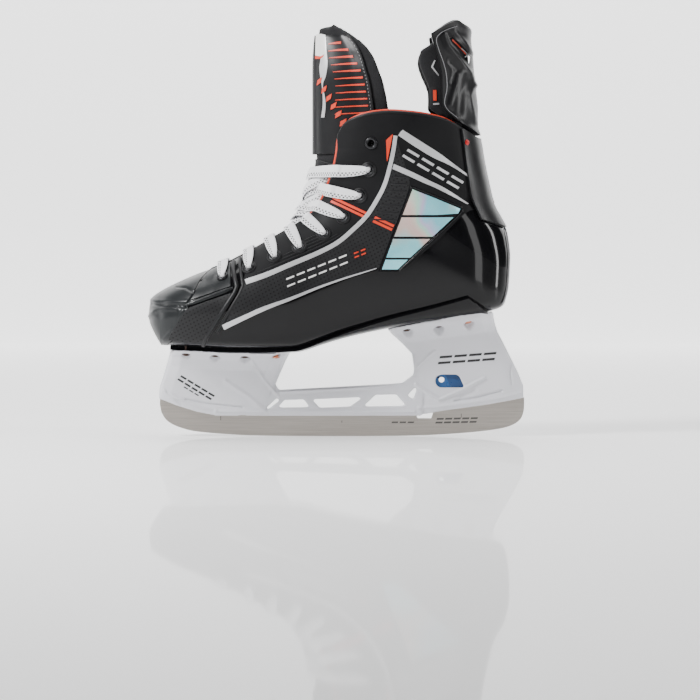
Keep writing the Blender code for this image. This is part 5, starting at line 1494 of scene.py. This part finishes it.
def tendon_guard():
    """The ribbed guard with its window, the felt pad inside it, and the base fixed to the shell."""
    guard = slabs("guard_shell", [GUARD.grids(GUARD_LOW, GUARD_HIGH, GUARD_WALL, 121, 84, guard_relief)],
                  "guard")
    window = plate("window_cutter", [GUARD_WINDOW], 120.0, "guard")
    cut(guard, window)
    bpy.data.objects.remove(window)
    round_edges(guard, 0.8, 3, 50)
    settle(guard, "guard_top", "gloss_shell", "tendon_guard")
    pad_low = smooth([(0.0, 247.0), (0.5, 249.0), (0.8, 254.0), (1.0, 259.5)])
    pad_high = smooth([(0.0, 318.0), (0.6, 322.0), (0.85, 316.0), (1.0, 307.0)])
    outer, inner = PAD.grids(pad_low, pad_high, 5.4, 61, 40)
    pad = slabs("guard_pad", [(outer, inner)], "pad_felt")
    swollen(pad, 1.9, 0.6)
    settle(pad, "guard_top", "felt", "tendon_pad")
    s = np.linspace(1.805, 2.965, 70)
    t = np.linspace(0.80, 1.0, 22)
    s, t = np.meshgrid(s, t, indexing="ij")
    pairs = [tuple(both_sides(lambda side, up=up: BOOT.at(s, t, side, up)) for up in (2.9, 0.75))]
    base = slabs("guard_anchor", pairs, "guard")
    round_edges(base, 0.6, 3, 50)
    settle(base, "boot", "gloss_shell", "tendon_guard_base")


def guard_trim():
    """The small marks on the guard's pad and in its window, and a painted highlight along its rim."""
    on_pad = {"place": PAD.place, "body": "guard_top"}
    lift = 0.65
    band_between("pad_chevron_upper", [(77.6, 298.4), (75.2, 293.0)], [1.0, 1.2], "silver", lift, 0.3, 12,
                 False, **on_pad)
    band_between("pad_chevron_lower", [(75.0, 293.4), (80.6, 286.4)], [1.2, 1.0], "silver", lift, 0.3, 14,
                 False, **on_pad)
    patch("pad_mark_orange", [(76.2, 275.0), (78.8, 275.0)], [(76.4, 266.6), (79.0, 266.6)], "orange", lift,
          0.35, 8, 14, 0.1, False, **on_pad)
    patch("pad_mark_silver", [(76.2, 264.6), (81.0, 264.9)], [(76.3, 263.2), (81.1, 263.5)], "silver", lift,
          0.3, 8, 4, 0.1, False, **on_pad)
    # painted highlight: a thin grey band along the guard's front rim, where the light catches it
    rim = [(94.7, 325.4), (87.0, 322.6), (81.4, 319.0), (78.6, 314.4), (80.6, 306.2), (84.3, 296.0),
           (86.6, 285.8), (86.9, 275.6), (85.2, 265.5), (87.5, 259.5), (95.7, 252.4)]
    band_between("guard_rim_painted_highlight", rim, [0.35, 0.5, 0.5, 0.35], "rim", 0.75, 0.35, 120, place=GUARD.place,
                 body="guard_top")
    band_between("window_red", [(91.0, 315.0), (97.0, 309.5), (102.0, 304.0)], [1.0, 0.9, 0.8], "orange",
                 lift, 0.4, 20, **on_pad)
    band_between("window_silver", [(98.0, 308.8), (102.8, 304.2), (101.0, 301.6)], [0.8, 0.9, 0.8],
                 "silver", lift + 0.3, 0.4, 20, **on_pad)


# ---------------------------------------------------------------- the lace

ROOTS = [0.72, 0.95, 1.09, 1.26, 1.34, 1.43, 1.57,
         1.73]  # the section where each run crosses the tongue's middle


class Strand:
    """The points of one length of lace, each with the way its flat face looks, its width and thickness."""

    def __init__(self):
        self.rows = []
        self.face = 1.0

    def add(self, point, normal, width, thickness=1.25):
        self.rows.append(np.concatenate([point, np.asarray(normal) * self.face, [width, thickness]]))

    def hole(self, index, side, outward):
        """Through an eyelet, after which the lace's other face looks out."""
        s, t = BOOT.find(*EYELETS[index])
        point, normal = BOOT.at(s, t, side), BOOT.normal(s, t, side)
        down = BOOT.at(s, t + 0.02, side) - point
        down /= np.linalg.norm(down)
        depths = (-9.0, -6.5, -2.0, 2.2) if outward else (2.2, -2.0, -6.5, -9.0)
        for depth in depths:
            turn = -down if outward else down
            self.rows.append(np.concatenate([point + normal * depth, turn * self.face, [4.4, 2.0]]))
        self.face = -self.face

    def outside(self, index, side, towards, leaving):
        """Over the eyestay between an eyelet and the lace edge."""
        s, t = BOOT.find(*EYELETS[index])
        edge = float(np.interp(s, BOOT.s, BOOT.edge))
        steps = [(0.84, 2.6, 6.8), (0.56, 2.3, 8.6), (0.24, 2.4, 9.4), (0.0, 2.9, 9.6)]
        for share, lift, width in steps if leaving else steps[::-1]:
            at_s = s + (towards - s) * 0.34 * (1 - share)
            at_t = edge + (t - edge) * share
            self.add(BOOT.at(at_s, at_t, side, lift), BOOT.normal(at_s, at_t, side), width)

    def across(self, s_from, root, s_to, side, lift, dive_first, dive_last):
        """Over the tongue from one edge to the other; a dive goes under the shell's edge."""
        first = [(0.55, 1.0), (0.25, 1.0)] if not dive_first else [(0.92, -0.2), (0.6, 0.5), (0.25, 0.9)]
        last = [(0.25, 1.0), (0.55, 1.0)] if not dive_last else [(0.25, 0.9), (0.6, 0.5), (0.92, -0.2)]
        for y, rise in first:
            s = root + (s_from - root) * y * 0.66
            point, normal = over_tongue(s, y, side, 1.4 + lift * rise)
            self.add(point, normal, 9.4)
        point, normal = over_tongue(root, 0.0, side, 1.4 + lift)
        self.add(point, normal, 9.6)
        for y, rise in last:
            s = root + (s_to - root) * y * (0.66 if not dive_last else 0.8)
            point, normal = over_tongue(s, y, -side, 1.4 + lift * rise)
            self.add(point, normal, 9.4)

    def inside(self, index, side, arriving):
        """Under the lining, between the lace edge and an eyelet."""
        s, t = BOOT.find(*EYELETS[index])
        edge = float(np.interp(s, BOOT.s, BOOT.edge))
        steps = [(0.15, 8.0), (0.6, 6.0)]
        for share, width in steps if arriving else steps[::-1]:
            at_t = edge + (t - edge) * share
            self.add(BOOT.at(s, at_t, side, -LACE_DEPTH), BOOT.normal(s, at_t, side), width, 1.1)

    def path(self):
        rows = resample(spline(self.rows, 10), 60 * max(2, len(self.rows) // 6))
        return rows[:, :3], rows[:, 3:6], rows[:, 6], rows[:, 7]


def lace():
    """The flat lace: a bar over the lowest pair, two crossing strands, and the last crossing tucked in."""
    paths = []
    for number, start_side in enumerate((LATERAL, MEDIAL)):
        height = 0.9 + 1.9 * number
        strand = Strand()
        side = start_side
        if number == 0:
            strand.hole(0, -side, True)
            strand.outside(0, -side, ROOTS[0], True)
            strand.across(BOOT.find(*EYELETS[0])[0], ROOTS[0], BOOT.find(*EYELETS[0])[0], -side, 2.2, False,
                          False)
            strand.outside(0, side, ROOTS[0], False)
        strand.hole(0, side, False)
        strand.inside(0, side, False)
        for i in range(LACED):
            s_here = BOOT.find(*EYELETS[i])[0]
            s_next = BOOT.find(*EYELETS[min(i + 1, LACED - 1)])[0]
            if i > 0:
                strand.outside(i, side, ROOTS[i], True)
            last = i == LACED - 1
            strand.across(s_here, ROOTS[i] if i else (s_here + s_next) / 2, s_next, side, height, i == 0,
                          True)
            side = -side
            if last:
                edge = float(np.interp(s_here, BOOT.s, BOOT.edge))
                strand.add(BOOT.at(s_here - 0.02, edge * 1.03, side, -LACE_DEPTH),
                           BOOT.normal(s_here - 0.02, edge, side), 7.0, 1.1)
            else:
                strand.inside(i + 1, side, True)
                strand.hole(i + 1, side, True)
        paths.append(strand.path())
    settle(bands("lace_braid", paths, "lace", power=3.0, around=16), "boot", "lace_white", "lace")


# ---------------------------------------------------------------- holder, runner and trigger

HOLDER_BOTTOM = [(-150.0, 33.0), (-141.0, 29.4), (-123.7, 22.7), (-108.4, 18.2), (-96.2, 16.4),
                 (-80.0, 16.2), (64.0, 16.4), (76.2, 19.0), (99.8, 22.2), (125.2, 25.8), (152.0, 30.8)]
GROOVE_DEPTH = 4.5
HOLDER_RIDGES = [
    ([(-88.0, 43.9), (-70.0, 31.8), (-57.0, 19.5)], 1.9, 1.19),
    ([(-68.8, 63.0), (-56.6, 43.9), (-46.5, 32.5)], 1.1, 1.53),
    ([(-120.1, 29.4), (-100.0, 25.8), (-75.0, 23.2)], 0.8, -1.36),
    ([(-138.0, 36.5), (-130.0, 31.5), (-108.0, 23.6), (-96.0, 21.6)], 1.3, 1.02),
    ([(-96.0, 20.2), (-60.0, 19.6), (0.0, 19.6), (62.0, 19.8)], 1.3, 1.19),
    ([(-135.4, 35.5), (-123.9, 25.8)], 0.8, -0.85),
    ([(63.4, 41.5), (74.0, 34.6), (82.2, 29.3), (100.0, 37.2), (118.1, 46.9)], 1.0, 1.53),
    ([(94.4, 28.2), (112.0, 30.8), (131.9, 36.2)], 0.9, -1.53),
    ([(99.0, 31.8), (110.0, 36.5)], 2.2, -1.02),
    ([(78.4, 68.3), (71.0, 61.8), (64.6, 55.3)], 0.9, 1.02),
    ([(66.0, 22.6), (80.0, 23.6), (97.0, 25.6), (125.0, 29.6), (148.0, 34.6)], 1.4, 1.19),
    ([(-46.0, 35.4), (0.0, 37.7), (41.0, 39.9)], 1.1, 1.19),
    ([(139.6, 56.5), (138.6, 50.0), (140.0, 42.0)], 0.9, -1.02),
]


def holder():
    """The moulded holder: the CAD's solid in fine quads, its edges eased and its ribs and creases raised."""
    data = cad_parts["holder"].data.copy()
    data.materials.clear()
    data.materials.append(FINISH["holder"])
    made = bpy.data.objects.new("holder_moulding", data)
    bpy.context.scene.collection.objects.link(made)
    bm = bmesh.new()
    bm.from_mesh(data)
    bmesh.ops.remove_doubles(bm, verts=bm.verts, dist=0.002 * MM)
    bm.to_mesh(data)
    bm.free()
    remeshed(made, 0.75, 8)
    points = coordinates(made) / MM
    normals = np.zeros(len(points) * 3)
    made.data.vertices.foreach_get("normal", normals)
    normals = normals.reshape(-1, 3)
    flat = points[:, [0, 2]]
    relief = sum(ridge(flat, line, width, height) for line, width, height in HOLDER_RIDGES)
    facing = np.clip((np.abs(normals[:, 1]) - 0.35) / 0.3, 0, 1) * (np.abs(points[:, 1]) > 3.4)
    points[:, 1] += np.sign(points[:, 1]) * relief * facing
    set_coordinates(made, points * MM)
    made.data.shade_smooth()
    settle(made, "boot", "holder_white", "holder")
    return made


def on_mesh(obj):
    """A placing function for a mesh: the outermost point of its side at (x, z) in the side view."""
    tree = BVHTree.FromObject(obj, bpy.context.evaluated_depsgraph_get())

    def place(x, z, side, lift):
        point, normal, _, _ = tree.ray_cast(Vector((x, side * 90.0, z)) * MM, Vector((0, -side, 0)))
        if point is None:
            return np.array([x, side * 5.0, z]), np.array([0.0, side, 0.0])
        return np.array(point) / MM + np.array(normal) * lift, np.array(normal)

    return place


def holder_marks(made):
    """Plain bars on the holder in place of its printed words."""
    options = {"place": on_mesh(made), "slot": "holder_white", "lift": 0.03, "wall": 0.18}
    plain_bars("rear_bar", ((80.8, 57.6), (127.0, 61.0)), 4, "ink", (10.0, 1.9), 1.8, 0.35, 4.6, **options)
    plain_bars("front_bar", ((-127.0, 45.4), (-98.0, 27.6)), 5, "ink", (5.2, 1.6), 1.3, 0.2, 3.4, **options)
    plain_bars("front_small_bar", ((-122.0, 39.4), (-107.0, 30.2)), 3, "ink", (3.6, 1.0), 1.4, 0.2,
               **options)


def holder_bottom(x):
    """Height of the holder's lower edge."""
    return float(np.interp(x, [p[0] for p in HOLDER_BOTTOM], [p[1] for p in HOLDER_BOTTOM]))


NOSE_X, SLOPE, POST_GAP = 107.6, 2.95, 0.65
RUNNER_HALF = 1.5
RUNNER_LOW = [(150.2, 29.0), (149.6, 19.4), (145.7, 12.0), (135.4, 7.0), (115.0, 3.7), (84.4, 1.3),
              (60.0, 0.35), (30.0, 0.0), (-30.0, 0.0), (-60.0, 0.35), (-80.0, 1.0), (-108.4, 3.2),
              (-122.6, 6.0), (-133.9, 11.0), (-139.4, 17.6), (-141.2, 25.0), (-141.2, 28.6)]


def runner():
    """The steel: its rockered outline, ground faces, setting marks and plain etched bars."""
    def steel(x):
        return x, holder_bottom(x) + GROOVE_DEPTH
    post = NOSE_X + POST_GAP
    top = [(-141.2, 29.6), steel(-136.0), steel(-129.0), (-129.0, 33.0), (-121.0, 33.0), steel(-121.0),
           steel(-108.4), steel(-96.0), steel(0.0), steel(62.0), (65.0, 14.2), (75.8, 14.2), steel(79.0),
           steel(99.8), (post, steel(108.0)[1]), (post, 35.5), (post - 9.0 / SLOPE, 44.5), (114.5, 44.5),
           (116.5, 42.0), (116.5, steel(116.5)[1]), steel(125.2), steel(144.0), (150.2, 30.6)]
    low = [tuple(p) for p in spline(RUNNER_LOW, 7)]
    made = plate("runner_blade", [top + low], 2 * RUNNER_HALF, "steel")
    made.data.set_sharp_from_angle(angle=math.radians(30))
    round_edges(made, 0.22, 2, 60)
    settle(made, "runner", "runner_steel", "runner")

    def on_runner(x, z, side, lift):
        return np.array([x, side * (RUNNER_HALF + lift), z]), np.array([0.0, side, 0.0])

    options = {"place": on_runner, "body": "runner", "slot": "runner_steel", "lift": -0.02, "wall": 0.07}
    plain_bars("etched_bar", ((79.0, 10.0), (110.0, 10.6)), 5, "etched", (5.6, 1.5), 1.2, 0.35, 2.9,
               **options)
    plain_bars("etched_small_bar", ((44.0, 10.4), (62.0, 10.4)), 3, "etched", (5.0, 1.2), 1.4, 0.35,
               **options)
    for n, (x, z, tall) in enumerate(((-92.6, 12.6, 3.4), (99.8, 14.8, 3.2), (4.3, 10.6, 1.8))):
        patch(f"setting_mark_{n + 1}", [(x - 0.25, z + tall), (x + 0.25, z + tall)],
              [(x - 0.25, z), (x + 0.25, z)], "etched", columns=4, rows=4, bevel=0.0, smoothed=False,
              **options)


def trigger():
    """The blue trigger with its finger hole, and the wire of its return spring."""
    nose_z = 35.5
    body = [(80.0, 37.6), (103.6, 37.6), (104.6, nose_z), (NOSE_X, nose_z), (NOSE_X - 9.0 / SLOPE, 44.5),
            (101.0, 50.7), (80.0, 50.7), (78.0, 50.1), (76.5, 48.4), (76.0, 46.2), (76.0, 42.0),
            (76.5, 39.8), (78.0, 38.1)]
    hole = [(84.0 + 2.2 * math.cos(a), 45.1 + 2.2 * math.sin(a)) for a in np.arange(36) * math.pi / 18]
    made = plate("trigger_slide_button", [body, hole], 5.4, "blue")
    made.data.shade_smooth()
    made.data.set_sharp_from_angle(angle=math.radians(30))
    round_edges(made, 0.45, 3, 35)
    settle(made, "trigger", "trigger_blue", "trigger")
    turns = np.linspace(0, 4 * 2 * math.pi, 130)
    centres = np.stack([67.4 + 8.0 * turns / turns[-1], 1.9 * np.cos(turns), 44.2 + 1.9 * np.sin(turns)],
                       axis=1)
    normals = np.stack([0 * turns, np.cos(turns), np.sin(turns)], axis=1)
    settle(bands("return_spring", [(centres, normals, 0.7, 0.7)], "spring", around=10), "boot",
           "spring_steel", "trigger_spring")


# ---------------------------------------------------------------- the stage

VIEW_WIDTH, DISTANCE, ELEVATION = 560.0, 2600.0, 2.0
VIEW_CENTRE = (10.8, 0.0, 68.8)


def area_light(name, place, target, size, power, colour=(1.0, 1.0, 1.0)):
    data = bpy.data.lights.new(name, "AREA")
    data.shape, data.size, data.size_y = "RECTANGLE", size[0] * MM, size[1] * MM
    data.energy, data.color = power, colour
    made = bpy.data.objects.new(name, data)
    bpy.context.scene.collection.objects.link(made)
    made.location = Vector(place) * MM
    made.rotation_euler = (Vector(target) - Vector(place)).to_track_quat("-Z", "Y").to_euler()
    return made


def studio():
    """A pale floor that curves up behind, soft lights, and a long lens at the skate's side."""
    rows = [(-3000.0, 0.0), (2200.0, 0.0)] + [(2200.0 + 600 * math.sin(a), 600 - 600 * math.cos(a))
                                              for a in np.linspace(0.1, math.pi / 2,
                                                                   12)] + [(2800.0, 3200.0)]
    points = [(x, y, z - 0.25) for y, z in rows for x in (-4000.0, 4000.0)]
    faces = [(2 * i, 2 * i + 1, 2 * i + 3, 2 * i + 2) for i in range(len(rows) - 1)]
    g = Graph("studio_floor", roughness=0.6, coat=0.3, coat_roughness=0.03, specular=0.2)
    rise = g.node("ShaderNodeMapRange", {"Value": g.split()[1], "From Min": 0.1, "From Max": 2.1,
                                         "To Min": 0.3, "To Max": 1.9}).outputs["Result"]
    g.feed(g.shader.inputs["Emission Strength"], rise)
    g.shader.inputs["Emission Color"].default_value = (1.0, 1.0, 1.0, 1.0)
    FINISH["floor"] = g.finish(g.mix(g.noise(1.5), (0.80, 0.80, 0.80), (0.84, 0.84, 0.84)), 0.6)
    floor = object_from("floor", points, faces, "floor", fix_normals=False)
    camera_data = bpy.data.cameras.new("camera")
    camera = bpy.data.objects.new("camera", camera_data)
    bpy.context.scene.collection.objects.link(camera)
    tilt = math.radians(ELEVATION)
    centre = Vector(VIEW_CENTRE)
    camera.location = (centre + Vector((0, -DISTANCE * math.cos(tilt), DISTANCE * math.sin(tilt)))) * MM
    camera.rotation_euler = (math.pi / 2 - tilt, 0, 0)
    camera_data.lens = camera_data.sensor_width * DISTANCE / VIEW_WIDTH
    camera_data.clip_start, camera_data.clip_end = 0.05, 60.0
    bpy.context.scene.camera = camera
    lights = [
        area_light("top", (60, 250, 1250), (0, 0, 100), (1500, 700), 15),
        area_light("key", (-1000, -700, 1000), (0, 0, 120), (360, 500), 38),
        area_light("fill", (1200, -1300, 300), (40, 0, 120), (300, 900), 4),
        area_light("rim", (1000, -160, 420), (90, 0, 160), (110, 800), 5),
        area_light("toe", (-1300, 100, 400), (-120, 0, 100), (200, 800), 4),
    ]
    world = bpy.data.worlds.new("world")
    world.use_nodes = True
    world.node_tree.nodes["Background"].inputs["Color"].default_value = (0.9, 0.93, 1.0, 1.0)
    world.node_tree.nodes["Background"].inputs["Strength"].default_value = 0.06
    bpy.context.scene.world = world


# ---------------------------------------------------------------- everything

boot_shell()
toe_cap()
toe_panels()
liners()
underfoot()
quarter()
graphics()
ankle_panel()
trim_marks()
edges()
eyelets()
rivets()
tongue()
tendon_guard()
guard_trim()
lace()
holder_marks(holder())
runner()
trigger()
bpy.data.objects.remove(HOLES)
studio()
